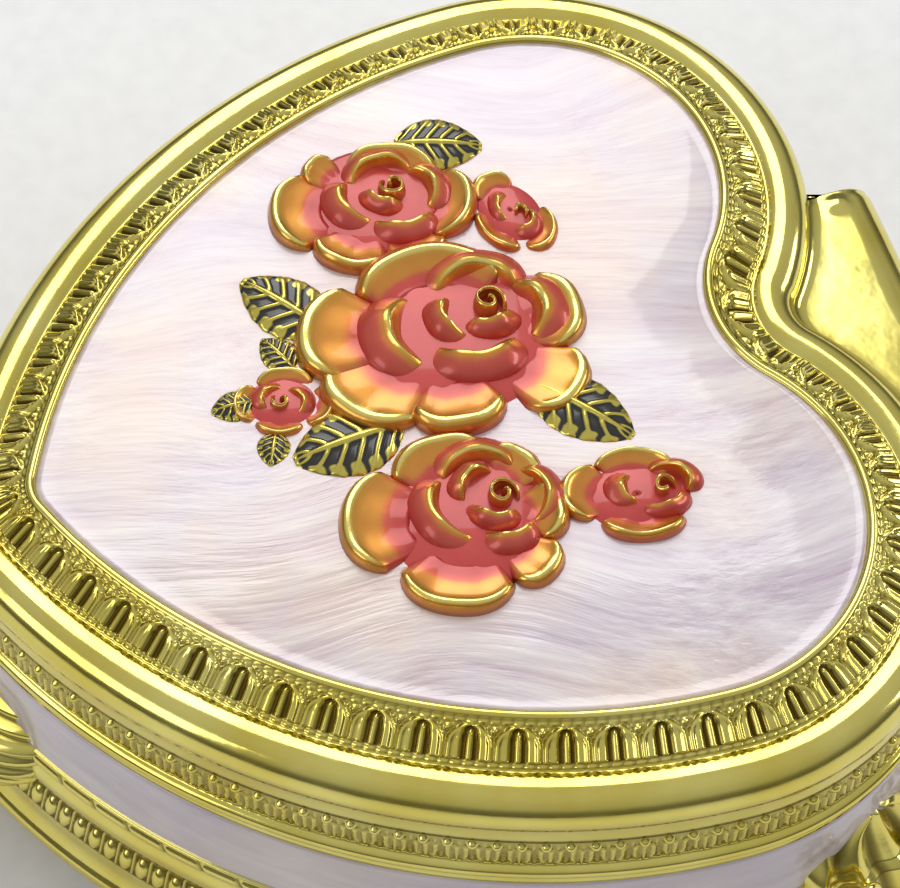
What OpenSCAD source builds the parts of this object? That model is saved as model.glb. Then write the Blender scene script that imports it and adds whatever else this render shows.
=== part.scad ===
// Heart-shaped wind-up music box: cast and plated case, enamel panels, hinged lid,
// velvet compartment and an 18-tooth comb movement wound by a key under the base.
// The box stands on Z = 0, its hinge is at the back (+Y) and the heart's point is at the front.

/* [Heart outline of the lid panel] */
// Half the distance between the centres of the two lobes
lobe_x = 21; // [20.5:0.1:25.5]
// Radius of each lobe
lobe_r = 19.8; // [19.5:0.1:24]
// Distance from the lobe centres forward to the centre of the rounded point
point_y = 54.7; // [52:0.1:62]
// Rounding of the point
point_r = 4; // [3:0.1:6]
// Radius of the two long flanks
flank_r = 65; // [62:0.5:80]
// Radius of the cleft between the lobes
cleft_r = 13.8; // [12.8:0.1:16]

/* [Case] */
// Clear height under the base
foot_h = 8.5; // [8.2:0.1:14]
// Height of the body from its base to the joint with the lid
body_h = 26.3; // [26:0.1:32]
// Height of the lid from the joint to the panel's edge
lid_h = 14.9; // [14:0.1:18]
// How far the base flange stands outside the panel outline
flange_out = 15.5; // [15:0.1:17]
// How far the lid's lower ridge stands outside the panel outline
skirt_out = 11; // [10.8:0.1:11.3]
// How far the inside of the body stands outside the panel outline
cavity_out = 8; // [7.6:0.1:8.3]
// Width of the sloping leaf band around the panel
band_w = 5.1; // [4:0.1:6]
// Thickness of the enamel
enamel_t = 0.6; // [0.4:0.1:0.8]
// Thickness of the base plate
plate_t = 2; // [1.6:0.1:2]

/* [Hinge] */
// Radius of the hinge pin
pin_r = 1; // [0.8:0.1:1.2]
// Radius of the hinge knuckles
knuckle_r = 3; // [2.6:0.1:3.2]
// Half the width of the hinge plate that bridges the cleft
hinge_half = 15; // [13:0.5:16]
// Half the width of the body's knuckle
block_half = 7; // [5:0.5:8]

/* [Feet] */
// Half the width of a foot
foot_half = 6.5; // [5:0.1:8]
// Angle of each back foot on its lobe, measured back from straight sideways
foot_angle = 27; // [15:1:35]
// Thickness of the felt pads
pad_t = 0.6; // [0.4:0.1:1]

/* [Movement] */
// Radius of the pinned cylinder
drum_r = 6.3; // [5.8:0.1:6.4]
// Number of comb teeth
comb_teeth = 18; // [12:1:18]
// Distance from one comb tooth to the next
comb_pitch = 0.82; // [0.7:0.01:0.84]
// Thickness of the comb
comb_t = 0.8; // [0.6:0.1:1]
// Radius of the spring housing
housing_r = 10.2; // [9.5:0.1:11]
// Radius of the winding arbor
arbor_r = 1.6; // [1.3:0.1:1.8]
// Radius of the fan
fan_r = 3.6; // [3:0.1:3.6]
// Half the span of the winding key
key_half = 9.5; // [8:0.5:11]
// Lift of the stop plunger
plunger_lift = 2.5; // [1.5:0.1:3]

/* [Hidden] */
$fn = 48;

run_fit = 0.05;      // radial clearance of a turning fit
free_gap = 0.3;      // clearance between parts that only pass each other
seat_gap = 0.05;     // glue or solder line between parts of one body
eps = 0.01;

// heights
base_z = foot_h;
floor_z = base_z + plate_t;
part_z = base_z + body_h;
lid_z = part_z + free_gap;
panel_z = lid_z + lid_h;

// plated colours
gold = [0.82, 0.76, 0.42];
brass = [0.72, 0.6, 0.3];
steel = [0.6, 0.6, 0.62];

// ---- heart outline: four arcs on each side, moved outward by d ----
// lobe_y puts the origin midway between the front toe and the back of the hinge
foot_d = 13.5;
toe_x = 3.6;
toe_r = 2.6;
toe_reach = toe_x + toe_r + 0.5;
hinge_back = 2.4;
cover_t = 1.2;
lobe_y = (point_y + point_r + foot_d + toe_reach
    - lobe_r - skirt_out - hinge_back - knuckle_r - cover_t) / 2;
lobe_c = [lobe_x, lobe_y];
point_c = [0, lobe_y - point_y];
centre_gap = norm(lobe_c - point_c);
inner_lobe = flank_r - lobe_r;
inner_point = flank_r - point_r;
along = (pow(inner_lobe, 2) - pow(inner_point, 2) + pow(centre_gap, 2)) / (2 * centre_gap);
dir_x = (point_c - lobe_c) / centre_gap;
dir_y = [-dir_x[1], dir_x[0]];
flank_c = lobe_c + dir_x * along - dir_y * sqrt(pow(inner_lobe, 2) - pow(along, 2));

function polar(r, a) = r * [cos(a), sin(a)];
function arc(c, r, a0, a1, n) = [for (i = [1:n]) c + polar(r, a0 + (a1 - a0) * i / n)];
function cleft_round(d) = max(cleft_r - d, 1);
function cleft_y(d) = lobe_y + sqrt(pow(lobe_r + d + cleft_round(d), 2) - pow(lobe_x, 2));
function point_round(d) = max(point_r + d, 0.5);
function point_cy(d) = flank_c[1] - sqrt(pow(flank_r + d - point_round(d), 2) - pow(flank_c[0], 2));
function right_half(d) =
    let (cy = cleft_y(d), py = point_cy(d))
    let (a_cleft = atan2(lobe_y - cy, lobe_x), a_lobe = atan2(cy - lobe_y, -lobe_x))
    let (a_flank = atan2(lobe_y - flank_c[1], lobe_x - flank_c[0]))
    let (a_point = atan2(py - flank_c[1], -flank_c[0]))
    concat([[0, cy - cleft_round(d)]],
        arc([0, cy], cleft_round(d), -90, a_cleft, 4),
        arc(lobe_c, lobe_r + d, a_lobe, a_flank, 18),
        arc(flank_c, flank_r + d, a_flank, a_point, 10),
        arc([0, py], point_round(d), a_point, -90, 5));
function outline(d) =
    let (h = right_half(d), n = len(h))
    concat(h, [for (i = [n - 2:-1:1]) [-h[i][0], h[i][1]]]);

module heart(d, z0, z1)
    translate([0, 0, z0]) linear_extrude(z1 - z0) polygon(outline(d));

// solid through a list of [offset, height] levels, lowest first
module loft(levels) {
    n = len(outline(0));
    m = len(levels);
    rings = [for (l = levels) for (p = outline(l[0])) [p[0], p[1], l[1]]];
    sides = [for (j = [0:m - 2]) for (i = [0:n - 1])
        let (k = (i + 1) % n, b = j * n, t = (j + 1) * n)
        each [[b + k, t + k, t + i], [b + k, t + i, b + i]]];
    bottom = [[for (i = [n - 1:-1:0]) i]];
    top = [[for (i = [0:n - 1]) (m - 1) * n + i]];
    polyhedron(points = rings, faces = concat(sides, bottom, top));
}

// band that runs round the outline, its section a closed loop of [offset, height] corners,
// up the outside and down the inside
module loft_ring(levels) {
    n = len(outline(0));
    m = len(levels);
    rings = [for (l = levels) for (p = outline(l[0])) [p[0], p[1], l[1]]];
    polyhedron(points = rings, faces = [for (j = [0:m - 1]) for (i = [0:n - 1])
        let (k = (i + 1) % n, b = j * n, t = ((j + 1) % m) * n)
        each [[b + k, t + k, t + i], [b + k, t + i, b + i]]]);
}

// place on the outline at offset d: on a lobe or on a flank, at angle a
function on_lobe(d, a) = lobe_c + polar(lobe_r + d, a);
function on_flank(d, a) = flank_c + polar(flank_r + d, a);
module both_sides() {
    children();
    mirror([1, 0, 0]) children();
}

// ---- lid ----
rim_out = skirt_out - 0.9;
roof_z = panel_z - 5.8;
tray_z = panel_z - 3.1;
panel_bed_z = panel_z - 1.6;
function lid_profile() = [
    [skirt_out - 0.4, lid_z],
    [skirt_out, lid_z + 0.5],
    [skirt_out, lid_z + 1],
    [skirt_out - 0.5, lid_z + 1.6],
    [rim_out + 0.1, lid_z + 4.4],
    [rim_out - 0.1, lid_z + 6.4],
    [rim_out - 0.2, lid_z + 9.2],
    [rim_out, lid_z + 10.2],
    [rim_out - 0.2, panel_z - 3.6],
    [rim_out - 1.2, panel_z - 2.5],
    [band_w + 1.8, panel_z - 2.1],
    [band_w, panel_z - 2.4],
    [0.9, panel_z],
    [0.5, panel_z + 0.3]];
module lid_shell() {
    color(gold) difference() {
        loft(lid_profile());
        heart(cavity_out + 0.4, lid_z - eps, roof_z);
        heart(-0.8, roof_z - eps, tray_z);
        heart(0, panel_bed_z, panel_z + 1);
    }
}
module lid_enamel() {
    color([0.9, 0.87, 0.87]) heart(-seat_gap, panel_bed_z, panel_z);
}

// spray of three roses, two buds, a small rose and four leaves: [x, y, radius, height]
rose_h = 3.2;
spray = [
    [-4.8, -14.9, 11.5, rose_h], [-22.3, -16.3, 8.6, rose_h - 0.4], [16.5, -18.5, 9.8, rose_h - 0.4],
    [-17.7, -2.9, 3.8, 1.8], [19.3, -1.8, 5.4, 2.2], [-1.7, -33.1, 4.2, 1.6],
    [-29.2, -6.9, 3.4, 1], [-13.3, -29.9, 3.8, 1], [4, -28.4, 4.6, 1], [8, -4.7, 4, 1]];
module dome(r, h)
    rotate_extrude() intersection() {
        translate([0, h - (r * r + h * h) / (2 * h)]) circle((r * r + h * h) / (2 * h));
        square([r, h]);
    }
module rose_spray() {
    color([0.85, 0.5, 0.3]) for (s = spray) translate([s[0], lobe_y + s[1], panel_z]) dome(s[2], s[3]);
}
module lid_mirror() {
    color([0.8, 0.85, 0.88]) heart(-1.2, roof_z + 0.2, tray_z - free_gap);
}
module mirror_frame() {
    color([0.45, 0.05, 0.12]) difference() {
        heart(cavity_out - 0.1, roof_z - 1, roof_z);
        heart(-4, roof_z - 2, roof_z + 1);
    }
}

// ---- hinge ----
hinge_y = lobe_y + lobe_r + skirt_out + hinge_back;
hinge_z = lid_z + 5.2;
block_r = knuckle_r - 0.4;
module along_x(x0, x1, y, z, r)
    translate([x0, y, z]) rotate([0, 90, 0]) cylinder(r = r, h = x1 - x0);
module lid_hinge_leaf() {
    cover_r = knuckle_r + cover_t;
    inner_r = knuckle_r;
    color(gold) difference() {
        union() {
            // plate that bridges the cleft
            translate([-hinge_half, cleft_y(0) - cleft_r, hinge_z + inner_r])
                cube([2 * hinge_half, hinge_y - cleft_y(0) + cleft_r, cover_t]);
            // rolled back edge over the knuckles
            intersection() {
                along_x(-hinge_half, hinge_half, hinge_y, hinge_z, cover_r);
                translate([-hinge_half, hinge_y - eps, hinge_z + 1])
                    cube([2 * hinge_half, cover_r + 1, cover_r]);
            }
            both_sides() along_x(block_half + free_gap, hinge_half, hinge_y, hinge_z, knuckle_r + eps);
        }
        heart(rim_out + 0.15, lid_z, panel_z);
        along_x(-block_half - free_gap, block_half + free_gap, hinge_y, hinge_z, inner_r);
        along_x(-hinge_half - 1, hinge_half + 1, hinge_y, hinge_z, pin_r + run_fit);
    }
}
module hinge_pin() {
    color(steel) along_x(-hinge_half - 0.4, hinge_half + 0.4, hinge_y, hinge_z, pin_r);
}
module body_hinge_block() {
    web_y = hinge_y - 3.8;
    color(gold) difference() {
        union() {
            along_x(-block_half, block_half, hinge_y, hinge_z, block_r);
            translate([-block_half, web_y, part_z - 3])
                cube([2 * block_half, 3, hinge_z - part_z + 3]);
            translate([-block_half, cleft_y(0) - cleft_r, part_z - 7])
                cube([2 * block_half, web_y + 3 - cleft_y(0) + cleft_r, 6.6]);
        }
        heart(skirt_out + 0.3, part_z - 8, part_z);
        along_x(-block_half - 1, block_half + 1, hinge_y, hinge_z, pin_r);
    }
}

// ---- body ----
wall_top = skirt_out - 0.8;
wall_foot = flange_out - 3.3;
enamel_lo = base_z + 15;
enamel_hi = part_z - 1.6;
function lower_profile(extra) = [
    [flange_out - 0.8 + extra, base_z],
    [flange_out + extra, base_z + 0.8],
    [flange_out + extra, base_z + 2.2],
    [flange_out - 0.6 + extra, base_z + 3],
    [flange_out - 1.4 + extra, base_z + 5.8],
    [flange_out - 2.6 + extra, base_z + 9],
    [flange_out - 2.6 + extra, base_z + 10.4],
    [flange_out - 3.3 + extra, base_z + 11],
    [wall_foot + extra, base_z + 14]];
// the wall between the mouldings, which the enamel covers, moved outward by extra
function wall_profile(extra) = [
    [wall_foot - 0.3 + extra, enamel_lo],
    [wall_top + 0.9 + extra, part_z - 5.6],
    [wall_top + 0.2 + extra, enamel_hi]];
function upper_profile(extra) = [
    [wall_top + extra, part_z - 0.6],
    [wall_top + extra, part_z]];
function body_profile(extra) =
    concat(lower_profile(extra), wall_profile(extra), upper_profile(extra));
// the same with the recess for the enamel
function recessed_profile() =
    let (wall = wall_profile(0))
    concat(lower_profile(0), [wall[0]], wall_profile(-enamel_t), [wall[2]], upper_profile(0));
module enamel_ring(inner, outer) {
    inside = wall_profile(-inner);
    loft_ring(concat(wall_profile(outer), [for (i = [len(inside) - 1:-1:0]) inside[i]]));
}
screw_spots = [on_lobe(9.8, 60), on_flank(9.8, -35)];
module body_shell() {
    color(gold) difference() {
        loft(recessed_profile());
        heart(cavity_out, floor_z - eps, part_z + 1);
        heart(flange_out - 3.9, base_z - 1, floor_z);
        both_sides() for (p = screw_spots) translate([p[0], p[1], floor_z - 1]) cylinder(r = 1, h = 7);
        for (k = [0:2]) at_foot(k) translate([0, 0, base_z - 1]) cylinder(r = 1.25, h = 5);
    }
}
module body_enamel() {
    color([0.88, 0.85, 0.87]) difference() {
        enamel_ring(enamel_t - seat_gap, 0.05);
        translate([-block_half - free_gap, lobe_y, enamel_lo])
            cube([2 * block_half + 2 * free_gap, hinge_y, part_z]);
    }
}
module base_plate() {
    color(brass) difference() {
        heart(flange_out - 4, base_z, floor_z);
        translate([wheel_c[0], wheel_c[1], base_z - 1]) cylinder(r = arbor_r + 0.6, h = plate_t + 2);
        both_sides() for (p = screw_spots) translate([p[0], p[1], base_z - 1]) cylinder(r = 1, h = 4);
        for (p = bed_screw_spots) translate([p[0], p[1], base_z - 1]) cylinder(r = 1.25, h = 4);
    }
}
// pan-head screw pointing up, its head seated under z
module screw_up(r, length, z) {
    translate([0, 0, z]) cylinder(r = r, h = length);
    translate([0, 0, z - r]) difference() {
        cylinder(r = 2 * r, h = r);
        translate([-2 * r, -r / 4, -eps]) cube([4 * r, r / 2, r / 2]);
    }
}
module base_screws() {
    color(steel) both_sides()
        for (p = screw_spots) translate([p[0], p[1], 0]) screw_up(1, plate_t + 4, base_z);
}

// ---- feet ----
// local X is outward from the case; the origin is foot_d outside the panel outline
foot_turn = [-90, foot_angle, 180 - foot_angle];
function foot_spot(k) = k == 0 ? [0, point_cy(0) - point_r - foot_d]
    : k == 1 ? on_lobe(foot_d, foot_angle)
    : [-on_lobe(foot_d, foot_angle)[0], on_lobe(foot_d, foot_angle)[1]];
module at_foot(k)
    translate([foot_spot(k)[0], foot_spot(k)[1], 0]) rotate(foot_turn[k]) children();
// side view of a foot: toe, instep, bulge over the base moulding, scroll tip on the wall
function foot_side() = [
    [toe_x - toe_r, pad_t], [toe_x + toe_r, pad_t],
    [toe_reach, pad_t + 1.9], [4.6, base_z - 3], [4.1, base_z],
    [4.4, base_z + 3.5], [4.6, base_z + 7.5], [3.7, base_z + 12.5],
    [2.2, base_z + 16.5], [0.8, base_z + 19.6], [-1.6, base_z + 20.4],
    [-3, base_z + 19], [-3, base_z], [-3.4, base_z], [-3.4, base_z - 1.8],
    [-0.4, base_z - 3.4]];
module foot(k) {
    color(gold) difference() {
        at_foot(k) rotate([90, 0, 0])
            translate([0, 0, -foot_half]) linear_extrude(2 * foot_half) polygon(foot_side());
        loft(body_profile(seat_gap));
        at_foot(k) translate([0, 0, -1]) cylinder(r = 1.25, h = base_z + 2);
        at_foot(k) translate([0, 0, -1]) cylinder(r = 2.5, h = base_z - 1);
    }
}
module foot_front() foot(0);
module foot_right() foot(1);
module foot_left() foot(2);
module foot_screws() {
    color(steel) for (k = [0:2]) at_foot(k) screw_up(1.25, 4.8, base_z - 2);
}
module foot_pads() {
    color([0.2, 0.2, 0.2]) for (k = [0:2]) at_foot(k) translate([toe_x, 0, 0]) cylinder(r = toe_r - 0.3, h = pad_t);
}

// ---- linings ----
wall_x = -1.2;       // middle of the partition
wall_t = 1.5;
liner_t = 0.8;
cover_z = part_z - 2.8;
cover_thick = 1.4;
module side(right) {
    big = 200;
    translate([right ? wall_x : wall_x - big, -big / 2, 0]) cube([big, big, big]);
}
module wall_liner() {
    color([0.45, 0.05, 0.12]) difference() {
        heart(cavity_out - seat_gap, floor_z, part_z - 0.3);
        heart(cavity_out - liner_t, floor_z - 1, part_z + 1);
        intersection() {
            heart(cavity_out + 1, cover_z, part_z + 1);
            side(true);
        }
    }
}
module partition() {
    color([0.45, 0.05, 0.12]) intersection() {
        heart(cavity_out - liner_t - seat_gap, floor_z, cover_z + cover_thick);
        translate([wall_x - wall_t, -100, 0]) cube([wall_t, 200, 100]);
    }
}
module velvet_floor() {
    color([0.5, 0.06, 0.14]) intersection() {
        heart(cavity_out - liner_t - seat_gap, floor_z, floor_z + 2);
        translate([wall_x - wall_t - seat_gap - 200, -100, 0]) cube([200, 200, 100]);
    }
}
module movement_cover() {
    color([0.85, 0.9, 0.92], 0.4) difference() {
        intersection() {
            heart(cavity_out - 0.15, cover_z, cover_z + cover_thick);
            translate([wall_x + seat_gap, -100, 0]) cube([200, 200, 100]);
        }
        translate([plunger_c[0], plunger_c[1], cover_z - 1])
            cylinder(r = guide_r + seat_gap, h = cover_thick + 2);
    }
}

// ---- movement ----
bed_x = [1, 39];
bed_y = [lobe_y - 28, lobe_y + 23];
bed_t = 2.5;
bed_top = floor_z + bed_t;
bed_screw_spots = [[5, bed_y[0] + 12], [35.5, bed_y[1] - 20], [5, bed_y[1] - 3.6]];
// spring housing and great wheel
wheel_c = [26, bed_y[0] + 13];
crown_r = 9;
crown_teeth = 36;
pinion_teeth = 12;
crown_module = 2 * crown_r / crown_teeth;
pinion_r = crown_module * pinion_teeth / 2;
housing_top = bed_top + 6.3;
wheel_z = housing_top + 0.5;
wheel_t = 1;
crown_pitch_z = wheel_z + wheel_t + 0.7;
axis_z = crown_pitch_z + pinion_r;
// cylinder axis runs along Y over the great wheel's centre
axis_x = wheel_c[0];
pinion_y = wheel_c[1] + crown_r;
pinion_w = 2.4;
post_t = 1.4;
wheel_rim = crown_r + 1.3;
post_y = wheel_c[1] + max(wheel_rim, housing_r) + free_gap;
drum_y = post_y + post_t + free_gap;
drum_len = comb_teeth * comb_pitch + 0.5;
gear_t = 1.2;
gear_y = drum_y + drum_len + 0.3;
rear_post_y = gear_y + gear_t + 0.4;
spindle_r = 0.8;
// governor
gear_teeth = 30;
small_teeth = 10;
train_module = 0.44;
gear_r = train_module * gear_teeth / 2;
small_r = train_module * small_teeth / 2;
mesh_angle = 35;     // governor axis lies this far below the cylinder axis
gov_x = axis_x + (gear_r + small_r) * cos(mesh_angle);
gov_z = axis_z - (gear_r + small_r) * sin(mesh_angle);
worm_teeth = 16;
worm_module = 0.45;
worm_wheel_r = worm_module * worm_teeth / 2;
worm_r = 1.3;
worm_lead = PI * worm_module;
worm_x = gov_x - worm_wheel_r - worm_r;
worm_y = rear_post_y + post_t + free_gap + fan_r;
worm_wheel_t = 1.4;
thread_z = gov_z - 2.2;
thread_h = 4.4;
fan_z = gov_z + worm_wheel_r + 0.8;
fan_h = 4.6;
brake_z = fan_z + fan_h;
brake_t = 0.4;
arm_z = brake_z + brake_t + 0.5;
arm_t = 1.4;
arm_half = 1.3;
shaft_r = 0.5;
plunger_r = 0.8;
guide_r = 1.8;
collar_t = 0.6;
plunger_c = [worm_x, worm_y - 2.6];
plunger_z = brake_z + brake_t + free_gap;
plunger_top = roof_z - 1 - free_gap;

module along_y(x, y, z) translate([x, y, z]) rotate([-90, 0, 0]) children();

// toothed outline: straight-sided teeth on a many-sided root
function teeth(n, root, tip, root_deg, tip_deg, phase) = [for (i = [0:n - 1])
    let (a = phase + 360 * i / n)
    each [polar(root, a - root_deg), polar(tip, a - tip_deg), polar(tip, a + tip_deg), polar(root, a + root_deg)]];
module toothed(n, m, thick, phase) {
    r = m * n / 2;
    pitch = 360 / n;
    linear_extrude(thick) polygon(teeth(n, r - m, r + 0.85 * m, 0.24 * pitch, 0.11 * pitch, phase));
}

module bedplate() {
    pedestal = [2.5, drum_y - 0.3, 8, drum_len + 0.6];
    color(brass) difference() {
        union() {
            translate([0, 0, floor_z]) linear_extrude(bed_t) polygon([
                [bed_x[0] + 8, bed_y[0]], [bed_x[1] - 6, bed_y[0]], [bed_x[1], bed_y[0] + 6],
                [bed_x[1], bed_y[1] - 8], [bed_x[1] - 6, bed_y[1]], [bed_x[0] + 11, bed_y[1]],
                [bed_x[0], bed_y[1] - 6], [bed_x[0], bed_y[0] + 8]]);
            translate([pedestal[0], pedestal[1], bed_top - eps])
                cube([pedestal[2], pedestal[3], axis_z - comb_t / 2 - bed_top + eps]);
        }
        translate([wheel_c[0], wheel_c[1], floor_z - 1]) cylinder(r = arbor_r + run_fit, h = bed_t + 2);
        for (p = bed_screw_spots) translate([p[0], p[1], floor_z - 1]) cylinder(r = 1.25, h = 3);
        for (p = comb_screw_spots) translate([p[0], p[1], axis_z - 6]) cylinder(r = 1, h = 10);
        for (p = gov_screw_spots) translate([p[0], p[1], floor_z + 0.5]) cylinder(r = 0.8, h = 4);
    }
}
module bedplate_screws() {
    color(steel) for (p = bed_screw_spots) translate([p[0], p[1], 0]) screw_up(1.25, plate_t + 1.8, base_z);
}

// comb: 18 sprung teeth, the bass teeth longer, their tips just short of the cylinder's pins
pin_stand = 0.45;
comb_tip_x = axis_x - drum_r - pin_stand - 0.25;
comb_root = 2.8;
comb_screw_spots = [[5.6, drum_y + 3], [5.6, drum_y + drum_len - 3]];
module comb() {
    slot = 0.3;
    y0 = drum_y + (drum_len - comb_teeth * comb_pitch) / 2;
    treble_x = 9.6;
    bass_x = 8.2;
    color(steel) translate([0, 0, axis_z - comb_t / 2]) difference() {
        linear_extrude(comb_t) polygon(concat(
            [[comb_root, y0]],
            [for (i = [0:comb_teeth - 1])
                let (x = bass_x + (treble_x - bass_x) * i / comb_teeth, y = y0 + i * comb_pitch)
                each [[x, y + slot / 2], [comb_tip_x, y + slot / 2],
                    [comb_tip_x, y + comb_pitch - slot / 2], [x, y + comb_pitch - slot / 2]]],
            [[comb_root, y0 + comb_teeth * comb_pitch]]));
        for (p = comb_screw_spots) translate([p[0], p[1], -1]) cylinder(r = 1.1, h = 3);
    }
}
module comb_screws() {
    color(steel) for (p = comb_screw_spots)
        translate([p[0], p[1], axis_z + comb_t / 2]) mirror([0, 0, 1]) screw_up(1, 4, 0);
}

module spring_housing() {
    color(brass) translate([wheel_c[0], wheel_c[1], 0]) difference() {
        translate([0, 0, bed_top]) cylinder(r = housing_r, h = housing_top - bed_top);
        translate([0, 0, bed_top - 1]) cylinder(r = housing_r - 0.7, h = housing_top - bed_top + 0.4);
        cylinder(r = 2.2, h = 100);
    }
}
// spiral strip from the arbor's hub out to the housing wall
spring_turns = 6;
spring_t = 0.35;
hub_r = arbor_r + 0.9;
function spiral_r(a) = hub_r + 0.5 + (housing_r - 2.2 - hub_r) * a / (360 * spring_turns);
module mainspring() {
    steps = [0:15:360 * spring_turns];
    inner = [for (a = steps) polar(spiral_r(a), a)];
    outer = [for (a = steps) polar(spiral_r(a) + spring_t, a)];
    n = len(outer);
    color(steel) translate([wheel_c[0], wheel_c[1], bed_top + 0.3])
        linear_extrude(4.8) polygon(concat(inner, [for (i = [n - 1:-1:0]) outer[i]]));
}
module winding_arbor() {
    color(steel) translate([wheel_c[0], wheel_c[1], 0]) {
        translate([0, 0, base_z - 5]) cylinder(r = arbor_r, h = wheel_z + wheel_t + 3 - base_z + 5);
        translate([0, 0, bed_top + 0.2]) cylinder(r = hub_r, h = 5);
    }
}
// close-wound wrap spring that lets the arbor slip one way inside the great wheel
module clutch_spring() {
    color(steel) translate([wheel_c[0], wheel_c[1], wheel_z + wheel_t + 0.55])
        for (i = [0:2]) translate([0, 0, 0.7 * i]) rotate_extrude() translate([arbor_r + 0.4, 0]) circle(0.34, $fn = 16);
}
module great_wheel() {
    pitch = 360 / crown_teeth;
    tooth_w = 0.55;
    tooth_l = 2.4;
    color(brass) translate([wheel_c[0], wheel_c[1], wheel_z]) difference() {
        union() {
            cylinder(r = wheel_rim, h = wheel_t);
            for (i = [0:crown_teeth - 1]) rotate(pitch * (i + 0.5))
                translate([crown_r - tooth_l / 2, -tooth_w / 2, wheel_t - eps])
                    cube([tooth_l, tooth_w, 1.15 + eps]);
        }
        translate([0, 0, -1]) cylinder(r = arbor_r + run_fit, h = 5);
        for (i = [0:4]) rotate(72 * i) translate([5, 0, -1]) cylinder(r = 1.7, h = 5);
    }
}
module winding_key() {
    color(gold) translate([wheel_c[0], wheel_c[1], 0]) difference() {
        union() {
            translate([0, 0, base_z - 5.6]) cylinder(r = 2.8, h = 5);
            for (s = [-1, 1]) translate([s * (key_half - 3.4), 0, base_z - 4.1]) rotate([90, 0, 0])
                translate([0, 0, -0.8]) cylinder(r = 3.4, h = 1.6);
            translate([-key_half + 3.4, -0.8, base_z - 5.6]) cube([2 * key_half - 6.8, 1.6, 3]);
        }
        translate([0, 0, base_z - 5]) cylinder(r = arbor_r, h = 6);
        for (s = [-1, 1]) translate([s * (key_half - 3.2), 0, base_z - 4.1]) rotate([90, 0, 0])
            translate([0, 0, -2]) cylinder(r = 1.5, h = 4);
    }
}

module cylinder_bearings() {
    color(brass) {
        difference() {
            translate([axis_x - 3, post_y, bed_top]) cube([6, post_t, axis_z + 2.5 - bed_top]);
            along_y(axis_x, post_y - 1, axis_z) cylinder(r = spindle_r + run_fit, h = post_t + 2);
        }
        difference() {
            union() {
                translate([axis_x - 3, rear_post_y, bed_top]) cube([6, post_t, axis_z + 2.5 - bed_top]);
                translate([axis_x - 3, rear_post_y, bed_top])
                    cube([gov_x + 2.2 - axis_x + 3, post_t, gov_z + 2.2 - bed_top]);
            }
            along_y(axis_x, rear_post_y - 1, axis_z) cylinder(r = spindle_r + run_fit, h = post_t + 2);
            along_y(gov_x, rear_post_y - 1, gov_z) cylinder(r = shaft_r + run_fit, h = post_t + 2);
        }
    }
}
module pin_cylinder() {
    color(brass) along_y(axis_x, drum_y, axis_z) difference() {
        cylinder(r = drum_r, h = drum_len);
        translate([0, 0, -1]) cylinder(r = spindle_r, h = drum_len + 2);
    }
}
// the tune: six pins on each of the comb's tracks, spread round the cylinder
module cylinder_pins() {
    pins_each = 6;
    root = 0.3;
    color(steel) along_y(axis_x, drum_y + (drum_len - comb_teeth * comb_pitch) / 2, axis_z)
        for (i = [0:comb_teeth - 1]) for (j = [0:pins_each - 1])
            rotate(47 * i + 360 * j / pins_each + 17 * ((i * j) % 3))
                translate([drum_r - root, 0, comb_pitch * (i + 0.5)]) rotate([0, 90, 0])
                    cylinder(r = 0.16, h = root + pin_stand, $fn = 16);
}
module cylinder_arbor() {
    color(steel) along_y(axis_x, pinion_y - pinion_w / 2 - 0.3, axis_z)
        cylinder(r = spindle_r, h = rear_post_y + post_t - pinion_y + pinion_w / 2 + 0.3);
}
module cylinder_pinion() {
    color(brass) along_y(axis_x, pinion_y - pinion_w / 2, axis_z) difference() {
        toothed(pinion_teeth, crown_module, pinion_w, 90);
        translate([0, 0, -1]) cylinder(r = spindle_r, h = pinion_w + 2);
    }
}
module cylinder_gear() {
    color(brass) along_y(axis_x, gear_y, axis_z) difference() {
        toothed(gear_teeth, train_module, gear_t, mesh_angle);
        translate([0, 0, -1]) cylinder(r = spindle_r, h = gear_t + 2);
    }
}
module governor_arbor() {
    color(steel) along_y(gov_x, gear_y - 0.2, gov_z)
        cylinder(r = shaft_r, h = worm_y + worm_wheel_t / 2 + 2 - gear_y + 0.2);
}
module governor_pinion() {
    color(brass) along_y(gov_x, gear_y, gov_z) difference() {
        toothed(small_teeth, train_module, gear_t, mesh_angle + 180 / small_teeth);
        translate([0, 0, -1]) cylinder(r = shaft_r, h = gear_t + 2);
    }
}
module worm_wheel() {
    color(brass) along_y(gov_x, worm_y - worm_wheel_t / 2, gov_z) difference() {
        toothed(worm_teeth, worm_module, worm_wheel_t, 0);
        translate([0, 0, -1]) cylinder(r = shaft_r, h = worm_wheel_t + 2);
    }
}
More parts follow.
